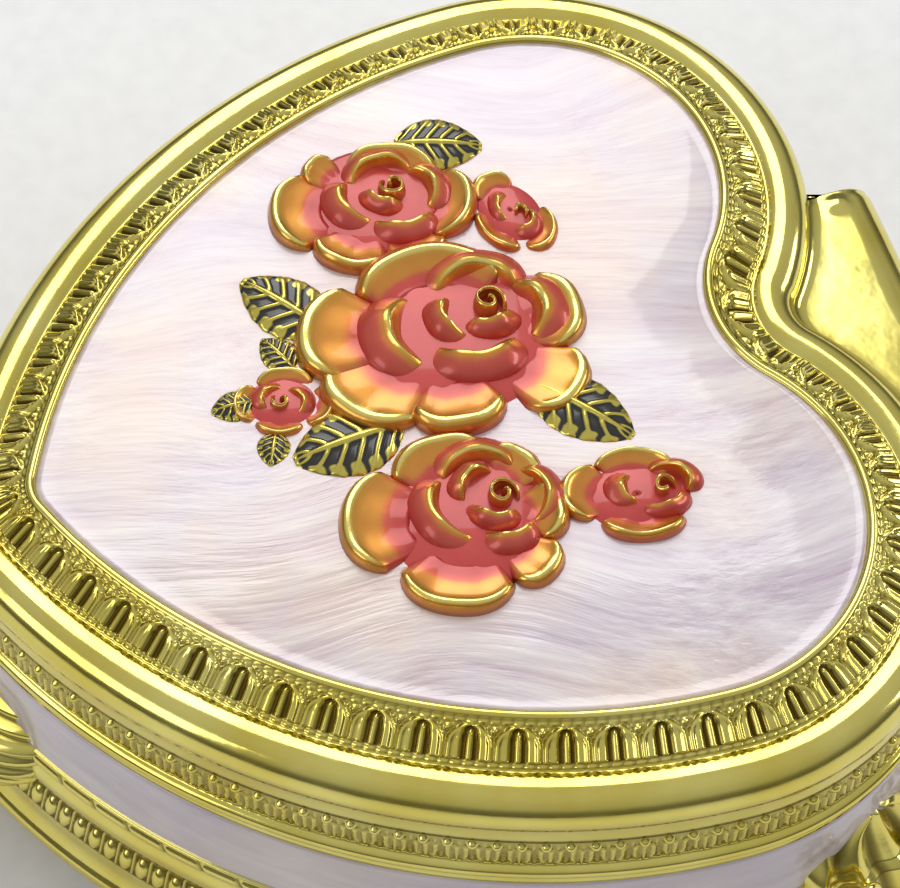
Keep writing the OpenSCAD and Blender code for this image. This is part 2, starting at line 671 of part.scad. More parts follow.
// single right-hand thread, half a lead away from the wheel's tooth at rest
module worm_screw() {
    start = -360 * (gov_z + worm_lead / 2 - thread_z) / worm_lead;
    half_deg = 40;
    tip = worm_r + 0.3;
    root = worm_r - 0.4;
    section = concat([for (a = [-half_deg:20:half_deg]) polar(tip, a)],
        [for (a = [80:40:280]) polar(root, a)]);
    color(steel) translate([worm_x, worm_y, 0]) {
        translate([0, 0, thread_z]) rotate(start)
            linear_extrude(thread_h, twist = -360 * thread_h / worm_lead, slices = 44, $fn = 12) polygon(section);
        translate([0, 0, bed_top + 0.6]) cylinder(r = shaft_r, h = thread_z - bed_top - 0.6);
        translate([0, 0, thread_z + thread_h]) cylinder(r = shaft_r, h = arm_z + arm_t - thread_z - thread_h);
    }
}
module air_brake() {
    color(steel) translate([worm_x, worm_y, 0]) difference() {
        union() {
            translate([0, 0, fan_z]) cylinder(r = 1.1, h = fan_h);
            translate([-fan_r, -0.15, fan_z]) cube([2 * fan_r, 0.3, fan_h]);
            translate([0, 0, brake_z]) cylinder(r = fan_r - 0.4, h = brake_t);
        }
        translate([0, 0, fan_z - 1]) cylinder(r = shaft_r, h = fan_h + 3);
    }
}
column_x = worm_x + fan_r + 0.4;
column_w = 2.2;
column_y = worm_y + worm_wheel_t / 2 + 0.5;
column_t = 1.5;
gov_screw_spots = [[worm_x - 3.2, worm_y]];
module governor_bracket() {
    foot_x = worm_x - 4.8;
    color(brass) difference() {
        union() {
            // foot with the lower pivot of the worm
            translate([foot_x, worm_y - 1.4, bed_top]) cube([column_x + column_w - foot_x, column_y + column_t - worm_y + 1.4, 1.2]);
            // column with the worm wheel's bearing
            translate([column_x, column_y, bed_top]) cube([column_w, column_t, arm_z + arm_t - bed_top]);
            // arm with the upper pivot of the worm
            translate([worm_x - arm_half, worm_y - arm_half, arm_z])
                cube([column_x + column_w - worm_x + arm_half, column_y + column_t - worm_y + arm_half, arm_t]);
        }
        translate([worm_x, worm_y, bed_top + 0.5]) cylinder(r = shaft_r + run_fit, h = 100);
        along_y(gov_x, column_y - 1, gov_z) cylinder(r = shaft_r + run_fit, h = column_t + 2);
        for (p = gov_screw_spots) translate([p[0], p[1], bed_top - 1]) cylinder(r = 0.8, h = 4);
    }
}
module governor_screws() {
    color(steel) for (p = gov_screw_spots)
        translate([p[0], p[1], bed_top + 1.2]) mirror([0, 0, 1]) screw_up(0.8, 2.6, 0);
}
module plunger_guide() {
    // starts above the plunger's collar at full lift
    guide_z = max(cover_z, plunger_z + collar_t + plunger_lift + free_gap);
    color(brass) translate([plunger_c[0], plunger_c[1], 0]) difference() {
        union() {
            translate([0, 0, guide_z]) cylinder(r = guide_r, h = cover_z + cover_thick + 4 - guide_z);
            translate([0, 0, cover_z + cover_thick]) cylinder(r = guide_r + 1, h = 0.8);
        }
        cylinder(r = plunger_r + run_fit, h = 100);
    }
}
module stop_plunger() {
    color(steel) translate([plunger_c[0], plunger_c[1], 0]) {
        translate([0, 0, plunger_z]) cylinder(r = plunger_r + 0.2, h = collar_t);
        translate([0, 0, plunger_z]) cylinder(r = plunger_r, h = plunger_top - plunger_z - 0.6);
        translate([0, 0, plunger_top - 1.2]) cylinder(r = 1.4, h = 1.2);
    }
}

lid_shell();
lid_enamel();
rose_spray();
lid_mirror();
mirror_frame();
lid_hinge_leaf();
hinge_pin();
body_shell();
body_enamel();
body_hinge_block();
base_plate();
base_screws();
foot_front();
foot_left();
foot_right();
foot_screws();
foot_pads();
velvet_floor();
wall_liner();
partition();
movement_cover();
plunger_guide();
bedplate();
bedplate_screws();
comb();
comb_screws();
spring_housing();
mainspring();
cylinder_bearings();
governor_bracket();
governor_screws();
winding_key();
winding_arbor();
clutch_spring();
great_wheel();
pin_cylinder();
cylinder_pins();
cylinder_arbor();
cylinder_pinion();
cylinder_gear();
governor_arbor();
governor_pinion();
worm_wheel();
worm_screw();
air_brake();
stop_plunger();
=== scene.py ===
import math

import bmesh
import bpy
import numpy as np
from mathutils import Matrix, Vector


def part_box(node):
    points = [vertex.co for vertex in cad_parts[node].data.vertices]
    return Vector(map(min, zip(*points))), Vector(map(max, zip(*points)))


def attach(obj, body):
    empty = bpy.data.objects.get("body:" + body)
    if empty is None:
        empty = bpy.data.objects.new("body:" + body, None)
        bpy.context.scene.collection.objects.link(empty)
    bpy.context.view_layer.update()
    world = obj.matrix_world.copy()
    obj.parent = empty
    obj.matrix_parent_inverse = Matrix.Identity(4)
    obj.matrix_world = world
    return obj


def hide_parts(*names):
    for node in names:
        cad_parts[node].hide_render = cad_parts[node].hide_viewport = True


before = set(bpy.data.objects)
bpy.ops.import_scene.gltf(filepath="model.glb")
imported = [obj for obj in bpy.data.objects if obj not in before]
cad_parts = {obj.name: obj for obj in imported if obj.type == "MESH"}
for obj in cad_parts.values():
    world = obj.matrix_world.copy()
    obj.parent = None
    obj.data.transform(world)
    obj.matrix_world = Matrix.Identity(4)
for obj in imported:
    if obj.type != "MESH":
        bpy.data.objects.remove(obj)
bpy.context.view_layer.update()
mm = 0.001
cuppedRidge = 0.42  # a petal whose ridge lies nearer its root than this is cupped
rng = np.random.default_rng(7)


def span(node):
    low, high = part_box(node)
    return np.array(low) / mm, np.array(high) / mm


# ---- heights and the heart outline, in millimetres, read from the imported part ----
enamelLow, enamelHigh = span("lid_enamel")
lidZ = span("lid_shell")[0][2]
bodyLow, bodyHigh = span("body_shell")
panelZ = enamelHigh[2]
partZ = bodyHigh[2]
baseZ = bodyLow[2]
floorZ = span("wall_liner")[0][2]
seatGap = 0.05
# the radii are the part's own sizes, repeated here: the frame does not hold them
heart = {"lobeX": 21, "lobeR": 19.8, "pointR": 4, "flankR": 65, "cleftR": 13.8}
lobeX = heart["lobeX"]
lobeY = enamelHigh[1] - heart["lobeR"] + seatGap
pointC = np.array([0, enamelLow[1] + heart["pointR"] - seatGap])
lobeC = np.array([lobeX, lobeY])
centreGap = np.linalg.norm(lobeC - pointC)
innerLobe = heart["flankR"] - heart["lobeR"]
innerPoint = heart["flankR"] - heart["pointR"]
along = (innerLobe ** 2 - innerPoint ** 2 + centreGap ** 2) / (2 * centreGap)
dirX = (pointC - lobeC) / centreGap
dirY = np.array([-dirX[1], dirX[0]])
flankX, flankY = lobeC + dirX * along - dirY * math.sqrt(innerLobe ** 2 - along ** 2)


def heartXY(t, d):
    # t runs from 0 to 8 round the outline at offset d: cleft, lobe, flank, point and back
    t, d = np.broadcast_arrays(np.asarray(t, float) % 8, np.asarray(d, float))
    side = np.where(t > 4, -1.0, 1.0)
    t = np.where(t > 4, 8 - t, t)
    cleftR = np.maximum(heart["cleftR"] - d, 1)
    pointR = np.maximum(heart["pointR"] + d, 0.5)
    lobeR = heart["lobeR"] + d
    flankR = heart["flankR"] + d
    cleftY = lobeY + np.sqrt((lobeR + cleftR) ** 2 - lobeX ** 2)
    pointY = flankY - np.sqrt((flankR - pointR) ** 2 - flankX ** 2)
    aLobe = np.arctan2(cleftY - lobeY, -lobeX)
    aFlank = np.arctan2(lobeY - flankY, lobeX - flankX) + 0 * d
    aPoint = np.arctan2(pointY - flankY, -flankX)
    aCleft = np.arctan2(lobeY - cleftY, lobeX)
    arcs = [(0, cleftY, cleftR, -math.pi / 2, aCleft), (lobeX, lobeY, lobeR, aLobe, aFlank),
            (flankX, flankY, flankR, aFlank, aPoint), (0, pointY, pointR, aPoint, -math.pi / 2)]
    x, y = np.zeros(t.shape), np.zeros(t.shape)
    for i, (cx, cy, r, a0, a1) in enumerate(arcs):
        here = (t >= i) & ((t < i + 1) | (i == 3))
        a = a0 + (a1 - a0) * (t - i)
        x = np.where(here, cx + r * np.cos(a), x)
        y = np.where(here, cy + r * np.sin(a), y)
    return x * side, y


def rail(count, d):
    # t values evenly spaced along the outline at offset d
    t = np.linspace(0, 8, 8001)
    x, y = heartXY(t, d)
    run = np.concatenate([[0], np.cumsum(np.hypot(np.diff(x), np.diff(y)))])
    return np.interp(np.linspace(0, run[-1], count, endpoint=False), run, t)


# ---- materials ----
def linear(code):
    parts = [int(code[i:i + 2], 16) / 255 for i in (1, 3, 5)]
    return tuple(c / 12.92 if c <= 0.04045 else ((c + 0.055) / 1.055) ** 2.4 for c in parts) + (1,)


def addNode(tree, kind, inputs=None, stops=None, **settings):
    made = tree.nodes.new("ShaderNode" + kind)
    for key, value in settings.items():
        setattr(made, key, value)
    for key, value in (inputs or {}).items():
        if isinstance(value, bpy.types.NodeSocket):
            tree.links.new(value, made.inputs[key])
        else:
            made.inputs[key].default_value = value
    for i, (place, colour) in enumerate(stops or []):
        points = made.color_ramp.elements
        point = points[i] if i < 2 else points.new(place)
        point.position = place
        point.color = linear(colour)
    return made


def startMaterial(name, **values):
    made = bpy.data.materials.new(name)
    made.use_nodes = True
    shader = made.node_tree.nodes["Principled BSDF"]
    for key, value in values.items():
        shader.inputs[key.replace("_", " ")].default_value = value
    return made, made.node_tree, shader


def objectCoords(tree, scale=(1, 1, 1), turn=0.0):
    place = addNode(tree, "TexCoord")
    return addNode(tree, "Mapping", {"Vector": place.outputs["Object"], "Scale": scale,
                                     "Rotation": (0, 0, turn)}).outputs[0]


def goldPlate(name, low, high, rough):
    # bright plated casting: a mirror polish with faint buffing, and colour darkened in the recesses and seam
    # gaps: painted shade, partly patina
    made, tree, shader = startMaterial(name, Metallic=1.0)
    where = objectCoords(tree)
    cloud = addNode(tree, "TexNoise", {"Vector": where, "Scale": 90, "Detail": 4})
    buff = addNode(tree, "TexNoise", {"Vector": objectCoords(tree, (300, 300, 2600)), "Scale": 1,
                                      "Detail": 3})
    tone = addNode(tree, "ValToRGB", {"Fac": cloud.outputs["Fac"]}, stops=[(0.35, low), (0.65, high)])
    darkening = addNode(tree, "Attribute", attribute_name="recess")
    # this mix darkens the plate colour where the mark is high: painted shade in hollows and under the lid,
    # partly patina
    dark = addNode(tree, "Mix", {0: darkening.outputs["Fac"], 6: tone.outputs["Color"], 7: linear("#5A4817")},
                   data_type="RGBA")
    tree.links.new(dark.outputs[2], shader.inputs["Base Color"])
    ruff = addNode(tree, "MapRange", {"Value": buff.outputs["Fac"], "From Min": 0.3, "From Max": 0.7,
                                      "To Min": rough, "To Max": rough + 0.09})
    wear = addNode(tree, "Math", {0: darkening.outputs["Fac"], 1: 0.25, 2: ruff.outputs[0]},
                   operation="MULTIPLY_ADD")
    tree.links.new(wear.outputs[0], shader.inputs["Roughness"])
    orange = addNode(tree, "TexNoise", {"Vector": where, "Scale": 420, "Detail": 2})  # 2.4 mm casting waves
    bump = addNode(tree, "Bump", {"Height": orange.outputs["Fac"], "Strength": 0.1, "Distance": 0.0002})
    tree.links.new(bump.outputs[0], shader.inputs["Normal"])
    return made


def pearlEnamel(name, streak, turn, tones):
    # brushed pearlescent enamel under clear gloss: pigment dragged into fine and broad streaks by the brush
    made, tree, shader = startMaterial(name, Coat_Weight=1.0, Coat_Roughness=0.05, Roughness=0.3,
                                       Metallic=0.1, Specular_IOR_Level=0.6)
    place = objectCoords(tree)
    bend = addNode(tree, "TexNoise", {"Vector": place, "Scale": 24, "Detail": 1})
    bent = addNode(tree, "Mix", {0: 0.022, 4: place, 5: bend.outputs["Color"]}, data_type="VECTOR")
    layers = []
    for width in (1.6, 6):
        laid = addNode(tree, "Mapping", {"Vector": bent.outputs[1], "Rotation": (0, 0, turn),
                                         "Scale": (streak[0], streak[1] * width, streak[2] * width)},
                       vector_type="TEXTURE")
        layers.append(addNode(tree, "TexNoise", {"Vector": laid.outputs[0], "Scale": 1, "Detail": 4,
                                                 "Roughness": 0.6}).outputs["Fac"])
    brush = addNode(tree, "Math", {0: layers[0], 1: 0.35, 2: 0.0}, operation="MULTIPLY_ADD")
    both = addNode(tree, "Math", {0: layers[1], 1: 0.65, 2: brush.outputs[0]}, operation="MULTIPLY_ADD")
    patch = addNode(tree, "TexNoise", {"Vector": place, "Scale": 45, "Detail": 3})
    warm = addNode(tree, "ValToRGB", {"Fac": patch.outputs["Fac"]},
                   stops=[(0.42, tones[0]), (0.62, tones[1])])
    pale = addNode(tree, "ValToRGB", {"Fac": both.outputs[0]}, stops=[(0.36, tones[2]), (0.64, tones[3])])
    tint = addNode(tree, "Mix", {0: 0.55, 6: warm.outputs[0], 7: pale.outputs[0]}, data_type="RGBA")
    tree.links.new(tint.outputs[2], shader.inputs["Base Color"])
    ruff = addNode(tree, "MapRange", {"Value": both.outputs[0], "From Min": 0.3, "From Max": 0.7,
                                      "To Min": 0.22, "To Max": 0.5})
    tree.links.new(ruff.outputs[0], shader.inputs["Roughness"])
    bump = addNode(tree, "Bump", {"Height": both.outputs[0], "Strength": 0.6, "Distance": 0.0004})
    # the gloss coat's slow waves
    wave = addNode(tree, "TexNoise", {"Vector": place, "Scale": 75, "Detail": 1})
    coat = addNode(tree, "Bump", {"Height": wave.outputs["Fac"], "Strength": 0.6, "Distance": 0.0008})
    rough = addNode(tree, "Bump", {"Height": both.outputs[0], "Strength": 0.1, "Distance": 0.0004,
                                   "Normal": coat.outputs[0]})
    tree.links.new(bump.outputs[0], shader.inputs["Normal"])
    tree.links.new(rough.outputs[0], shader.inputs["Coat Normal"])
    return made


def roseEnamel():
    # translucent coral lacquer over gold plate: thick and red in hollows, worn thin to gold on edges
    made, tree, shader = startMaterial("coral lacquer over gold plate", Coat_Weight=0.6, Coat_Roughness=0.05)
    place = objectCoords(tree)
    warm = addNode(tree, "Attribute", attribute_name="warm")
    cloud = addNode(tree, "TexNoise", {"Vector": place, "Scale": 420, "Detail": 3})
    shift = addNode(tree, "Math", {0: cloud.outputs["Fac"], 1: 0.22, 2: warm.outputs["Fac"]},
                    operation="MULTIPLY_ADD")
    tone = addNode(tree, "ValToRGB", {"Fac": shift.outputs[0]},
                   stops=[(0.16, "#C23A36"), (0.4, "#CC5640"), (0.56, "#D68A36"), (0.85, "#E2A840"),
                          (1.0, "#F0DC7A")])
    tree.links.new(tone.outputs[0], shader.inputs["Base Color"])
    metal = addNode(tree, "MapRange", {"Value": warm.outputs["Fac"], "From Min": 0.1, "From Max": 0.75,
                                       "To Min": 0.25, "To Max": 0.95})
    tree.links.new(metal.outputs[0], shader.inputs["Metallic"])
    ruff = addNode(tree, "MapRange", {"Value": warm.outputs["Fac"], "From Min": 0.2, "From Max": 0.9,
                                      "To Min": 0.4, "To Max": 0.2})
    tree.links.new(ruff.outputs[0], shader.inputs["Roughness"])
    bump = addNode(tree, "Bump", {"Height": cloud.outputs["Fac"], "Strength": 0.12, "Distance": 0.0002})
    tree.links.new(bump.outputs[0], shader.inputs["Normal"])
    return made


def leafGold():
    # gold veins standing out of near-black enamel
    made, tree, shader = startMaterial("gold leaf with black enamel", Coat_Weight=0.4, Coat_Roughness=0.08)
    warm = addNode(tree, "Attribute", attribute_name="warm")
    grain = addNode(tree, "TexNoise", {"Vector": objectCoords(tree), "Scale": 900, "Detail": 2})
    edge = addNode(tree, "Math", {0: grain.outputs["Fac"], 1: 0.3, 2: warm.outputs["Fac"]},
                   operation="MULTIPLY_ADD")
    tone = addNode(tree, "ValToRGB", {"Fac": edge.outputs[0]}, stops=[(0.42, "#1E1A12"), (0.62, "#D9C95E")])
    tree.links.new(tone.outputs[0], shader.inputs["Base Color"])
    metal = addNode(tree, "MapRange", {"Value": edge.outputs[0], "From Min": 0.4, "From Max": 0.6})
    tree.links.new(metal.outputs[0], shader.inputs["Metallic"])
    ruff = addNode(tree, "MapRange", {"Value": grain.outputs["Fac"], "To Min": 0.12, "To Max": 0.34})
    tree.links.new(ruff.outputs[0], shader.inputs["Roughness"])
    return made


def machined(name, low, high, rough, lines, depth=0.00003):
    # turned or rolled stock: fine parallel tool lines and a little tarnish
    made, tree, shader = startMaterial(name, Metallic=1.0, Anisotropic=0.4)
    tarnish = addNode(tree, "TexNoise", {"Vector": objectCoords(tree), "Scale": 160, "Detail": 4})
    cut = addNode(tree, "TexNoise", {"Vector": objectCoords(tree, lines), "Scale": 1, "Detail": 3})
    tone = addNode(tree, "ValToRGB", {"Fac": tarnish.outputs["Fac"]}, stops=[(0.3, low), (0.7, high)])
    tree.links.new(tone.outputs[0], shader.inputs["Base Color"])
    ruff = addNode(tree, "MapRange", {"Value": cut.outputs["Fac"], "To Min": rough, "To Max": rough + 0.18})
    tree.links.new(ruff.outputs[0], shader.inputs["Roughness"])
    bump = addNode(tree, "Bump", {"Height": cut.outputs["Fac"], "Strength": 0.4, "Distance": depth})
    tree.links.new(bump.outputs[0], shader.inputs["Normal"])
    return made


def napped(name, low, high, fibre, sheen):
    # short pile: soft sheen at grazing angles, brushed patches, fibres drawn about 0.15 mm
    made, tree, shader = startMaterial(name, Roughness=0.95, Sheen_Weight=sheen, Sheen_Roughness=0.35,
                                       Specular_IOR_Level=0.1)
    place = objectCoords(tree)
    brushed = addNode(tree, "TexNoise", {"Vector": place, "Scale": 120, "Detail": 4})
    pile = addNode(tree, "TexNoise", {"Vector": place, "Scale": fibre, "Detail": 3})
    blend = addNode(tree, "Math", {0: pile.outputs["Fac"], 1: 0.5, 2: brushed.outputs["Fac"]},
                    operation="MULTIPLY_ADD")
    tone = addNode(tree, "ValToRGB", {"Fac": blend.outputs[0]}, stops=[(0.5, low), (1.0, high)])
    tree.links.new(tone.outputs[0], shader.inputs["Base Color"])
    bump = addNode(tree, "Bump", {"Height": pile.outputs["Fac"], "Strength": 0.8, "Distance": 0.0002})
    tree.links.new(bump.outputs[0], shader.inputs["Normal"])
    return made


def clearSheet():
    # cast acrylic: clear with hairline scratches
    made, tree, shader = startMaterial("clear acrylic", IOR=1.49, Transmission_Weight=1.0, Roughness=0.03)
    shader.inputs["Base Color"].default_value = linear("#F4F8F6")
    hair = addNode(tree, "TexNoise", {"Vector": objectCoords(tree, (220, 5200, 220), 0.4), "Scale": 1,
                                      "Detail": 2})
    ruff = addNode(tree, "MapRange", {"Value": hair.outputs["Fac"], "From Min": 0.55, "From Max": 0.75,
                                      "To Min": 0.02, "To Max": 0.14})
    tree.links.new(ruff.outputs[0], shader.inputs["Roughness"])
    return made


def silvered():
    # glass mirror: silver behind a hard gloss with faint wiping marks
    made, tree, shader = startMaterial("silvered mirror", Metallic=1.0, Coat_Weight=1.0, Coat_Roughness=0.01)
    wipe = addNode(tree, "TexNoise", {"Vector": objectCoords(tree, (60, 260, 60), 0.7), "Scale": 1,
                                      "Detail": 4})
    tone = addNode(tree, "ValToRGB", {"Fac": wipe.outputs["Fac"]},
                   stops=[(0.3, "#DCE3E4"), (0.7, "#E8EEEE")])
    tree.links.new(tone.outputs[0], shader.inputs["Base Color"])
    ruff = addNode(tree, "MapRange", {"Value": wipe.outputs["Fac"], "To Min": 0.01, "To Max": 0.05})
    tree.links.new(ruff.outputs[0], shader.inputs["Roughness"])
    return made


gold = goldPlate("polished pale gold plate", "#DCCB62", "#E8DC80", 0.09)
goldSoft = goldPlate("satin pale gold plate", "#CFBE5C", "#DDCF78", 0.2)
pearl = pearlEnamel("brushed pearl enamel", (0.022, 0.0006, 0.0006), math.radians(76),
                    ("#D2C3D0", "#E6C6A6", "#C2AEBC", "#FFFBF8"))
pearlWall = pearlEnamel("poured pearl enamel", (0.012, 0.012, 0.0012), 0,
                        ("#C2B6C2", "#D6C6BA", "#B3A6B2", "#E6DFE2"))
coral = roseEnamel()
veined = leafGold()
brass = machined("rolled brass", "#B08D3F", "#CDAE5C", 0.22, (3200, 160, 160))
turnedBrass = machined("turned brass", "#B8933F", "#D8B863", 0.14, (160, 3600, 160))
steel = machined("ground steel", "#9FA2A6", "#C3C6C8", 0.2, (160, 3000, 160))
bluedSteel = machined("blued spring steel", "#2B3350", "#4A5474", 0.24, (200, 200, 2600))
velvet = napped("wine velvet", "#4A0713", "#8C1E33", 5200, 0.8)
felt = napped("black felt", "#1C1B1B", "#3A3838", 3200, 0.25)
acrylic = clearSheet()
mirrorGlass = silvered()
print("materials made")


# ---- mesh building ----
def gridFaces(rows, cols, closeRows=False, closeCols=False, start=0):
    a, b = np.meshgrid(np.arange(rows - (not closeRows)), np.arange(cols - (not closeCols)), indexing="ij")
    an, bn = (a + 1) % rows, (b + 1) % cols
    return (np.stack([a * cols + b, an * cols + b, an * cols + bn, a * cols + bn], -1) + start).reshape(-1,
                                                                                                        4)


def makePiece(name, points, faces, material, body, slotName, replaced=(), smooth=True, **marks):
    mesh = bpy.data.meshes.new(name)
    mesh.from_pydata((np.asarray(points).reshape(-1, 3) * mm).tolist(), [],
                     [list(map(int, f)) for f in faces])
    for key, values in marks.items():
        data = mesh.attributes.new(key, "FLOAT", "POINT").data
        data.foreach_set("value", np.asarray(values, np.float32).ravel())
    shape = bmesh.new()
    shape.from_mesh(mesh)
    bmesh.ops.recalc_face_normals(shape, faces=shape.faces)
    shape.to_mesh(mesh)
    shape.free()
    if smooth:
        mesh.shade_smooth()
    mesh.materials.append(material)
    obj = bpy.data.objects.new(name, mesh)
    bpy.context.scene.collection.objects.link(obj)
    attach(obj, body)
    if replaced:
        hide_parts(*replaced)
    return obj


def capped(loops):
    # closed loops one after another, with a fan at each end
    loops = np.asarray(loops)
    rows, cols = loops.shape[:2]
    faces = gridFaces(rows, cols, closeCols=True).tolist()
    points = np.concatenate([loops.reshape(-1, 3), loops[0].mean(0)[None], loops[-1].mean(0)[None]])
    first, last = rows * cols, rows * cols + 1
    for j in range(cols):
        k = (j + 1) % cols
        faces.append([first, j, k])
        faces.append([last, (rows - 1) * cols + j, (rows - 1) * cols + k])
    return points, faces


def joined(parts):
    # several (points, faces, marks) as one mesh
    points, faces, marks, base = [], [], [], 0
    for part in parts:
        points.append(np.asarray(part[0]).reshape(-1, 3))
        faces += [[int(i) + base for i in f] for f in part[1]]
        marks.append(np.asarray(part[2]).ravel() if len(part) > 2 else np.zeros(len(points[-1])))
        base += len(points[-1])
    return np.concatenate(points), faces, np.concatenate(marks)


def lathe(profile, segments=48):
    # [radius, height] rows turned about Z
    a = np.linspace(0, 2 * math.pi, segments, endpoint=False)
    r, z = np.array(profile, float).T
    return np.stack([r[:, None] * np.cos(a), r[:, None] * np.sin(a), z[:, None] + 0 * a], -1)


def roundedLoop(halfX, halfZ, radius, each=5):
    # rounded rectangle in the XZ plane
    corner = [(halfX - radius, halfZ - radius, 0), (radius - halfX, halfZ - radius, 90),
              (radius - halfX, radius - halfZ, 180), (halfX - radius, radius - halfZ, 270)]
    turn = [(cx, cz, math.radians(a + 90 * i / (each - 1))) for cx, cz, a in corner for i in range(each)]
    return np.array([(cx + radius * math.cos(a), 0, cz + radius * math.sin(a)) for cx, cz, a in turn])


def fade(x, low, high):
    s = np.clip((x - low) / (high - low), 0, 1)
    return s * s * (3 - 2 * s)


# ---- relief patterns: cell place c across one repeat (-0.5 to 0.5), v across the moulding (0 to 1) ----
# each pattern gives a height and a darkening for its low parts: painted shade, partly patina
def reliefLeaf(c, v):
    # arched leaf, its round tip at v = 0: a stout rim, five ribs inside it, and a trefoil between tips
    half = 0.49 * np.sqrt(np.clip(1 - np.clip((0.6 - v) / 0.6, 0, 1) ** 1.9, 0, 1))
    inside = fade(half - np.abs(c), 0, 0.05)
    half = np.maximum(half, 0.02)
    reach = np.clip(np.abs(c) / half, 0, 1)
    ribs = np.clip(0.45 + 0.7 * np.cos(4 * math.pi * reach), 0, 1) * fade(v, 0.1, 0.26)
    rim = np.exp(-((np.abs(c) - half + 0.09) / 0.08) ** 2)
    between = np.abs(np.abs(c) - 0.5)
    trefoil = np.exp(-(between ** 2 * 260 + (v - 0.16) ** 2 * 90))
    trefoil = trefoil + 0.7 * np.exp(-((between - 0.13) ** 2 * 420 + (v - 0.07) ** 2 * 220))
    height = inside * (0.02 + 0.42 * ribs) + 0.56 * rim + 0.42 * trefoil
    sunk = 1 - fade(height, 0.08, 0.3)
    return height, sunk * (0.5 + 0.5 * inside)


def reliefDots(c, v):
    height = 0.2 * np.sqrt(np.clip(1 - (c / 0.42) ** 2 - ((v - 0.5) / 0.5) ** 2, 0, 1))
    return height, 0.5 * (1 - fade(height, 0.0, 0.1))


def reliefBead(c, v):
    bead = np.sqrt(np.clip(1 - (c / 0.24) ** 2 - ((v - 0.45) / 0.36) ** 2, 0, 1))
    small = np.exp(-((np.abs(c) - 0.5) / 0.07) ** 2) * 0.2 * np.sin(math.pi * v)
    height = 0.58 * bead + small
    return height, 0.45 * (1 - fade(height, 0.05, 0.25))


def reliefTongue(c, v):
    # drooping three-ribbed tongues under the beads
    half = 0.46 * np.sqrt(np.clip(1 - np.clip((v - 0.45) / 0.55, 0, 1) ** 2, 0, 1))
    reach = np.clip(np.abs(c) / np.maximum(half, 0.05), 0, 1.2)
    ribs = np.clip(np.cos(3 * math.pi * reach), 0, 1)
    height = fade(half - np.abs(c), 0, 0.08) * (0.08 + 0.22 * ribs)
    height = height + 0.14 * np.exp(-((np.abs(np.abs(c) - 0.5)) / 0.05) ** 2) * fade(v, 0.5, 0.9)
    return height, 0.55 * (1 - fade(height, 0.05, 0.24))


def reliefRope(c, v):
    # raised line cut into slanting segments
    slant = (c + 0.5 + 0.22 * (v - 0.5)) % 1 - 0.5
    cut = np.exp(-((np.abs(slant) - 0.5) / 0.06) ** 2)
    height = 0.42 * np.sin(math.pi * v) ** 0.7 * (1 - 0.75 * cut)
    return height, 0.8 * cut


def reliefEgg(c, v):
    # eggs with a dart between them
    egg = np.sqrt(np.clip(1 - (c / 0.36) ** 2 - ((v - 0.48) / 0.44) ** 2, 0, 1))
    dart = np.exp(-((np.abs(c) - 0.5) / 0.055) ** 2) * 0.4 * (1 - 0.6 * v)
    height = 0.5 * egg + dart
    return height, 0.9 * (1 - fade(height, 0.05, 0.25))


reliefs = {"leaf": (reliefLeaf, 62), "dots": (reliefDots, 248), "bead": (reliefBead, 132),
           "tongue": (reliefTongue, 104), "rope": (reliefRope, 76), "egg": (reliefEgg, 166)}


def casting(profile, columns, at):
    # closed moulding section carried round the heart; profile rows are (offset, z, steps to next, relief)
    u = np.arange(columns) / columns
    t = rail(columns, at)
    rows = len(profile)
    d, z, height, recess = [], [], [], []
    for i, (d0, z0, steps, kind) in enumerate(profile):
        d1, z1 = profile[(i + 1) % rows][:2]
        length = max(math.hypot(d1 - d0, z1 - z0), 1e-6)
        outD, outZ = -(z1 - z0) / length, (d1 - d0) / length
        for s in range(steps):
            v = s / steps
            lift, darkening = np.zeros(columns), np.zeros(columns)
            if kind in reliefs:
                shape, count = reliefs[kind]
                cell = (u * count + 0.5) % 1 - 0.5
                lift, darkening = shape(cell, np.full(columns, v))
            d.append(d0 + (d1 - d0) * v + outD * lift)
            z.append(z0 + (z1 - z0) * v + outZ * lift)
            # rows marked dark are fully darkened: painted shadow in the seam groove and on the lid's
            # underside
            recess.append(darkening if kind in reliefs else np.full(columns, float(kind == "dark")))
    d, z = np.stack(d, 1), np.stack(z, 1)
    x, y = heartXY(t[:, None], d)
    faces = gridFaces(columns, d.shape[1], True, True)
    return np.stack([x, y, z], -1), faces, np.stack(recess, 1)


def curve(points, steps, kind=None):
    # a smooth run of profile rows through a few points
    p = np.array(points, float)
    run = np.concatenate([[0], np.cumsum(np.hypot(*np.diff(p, axis=0).T))])
    rows = []
    for s in np.linspace(0, run[-1], steps, endpoint=False):
        i = min(np.searchsorted(run, s, "right") - 1, len(p) - 2)
        h = run[i + 1] - run[i]
        f = (s - run[i]) / h
        before = p[max(i - 1, 0)]
        after = p[min(i + 2, len(p) - 1)]
        m0 = (p[i + 1] - before) / 2
        m1 = (after - p[i]) / 2
        q = ((2 * f ** 3 - 3 * f ** 2 + 1) * p[i] + (f ** 3 - 2 * f ** 2 + f) * m0
             + (3 * f ** 2 - 2 * f ** 3) * p[i + 1] + (f ** 3 - f ** 2) * m1)
        rows.append((q[0], q[1], 1, kind))
    return rows


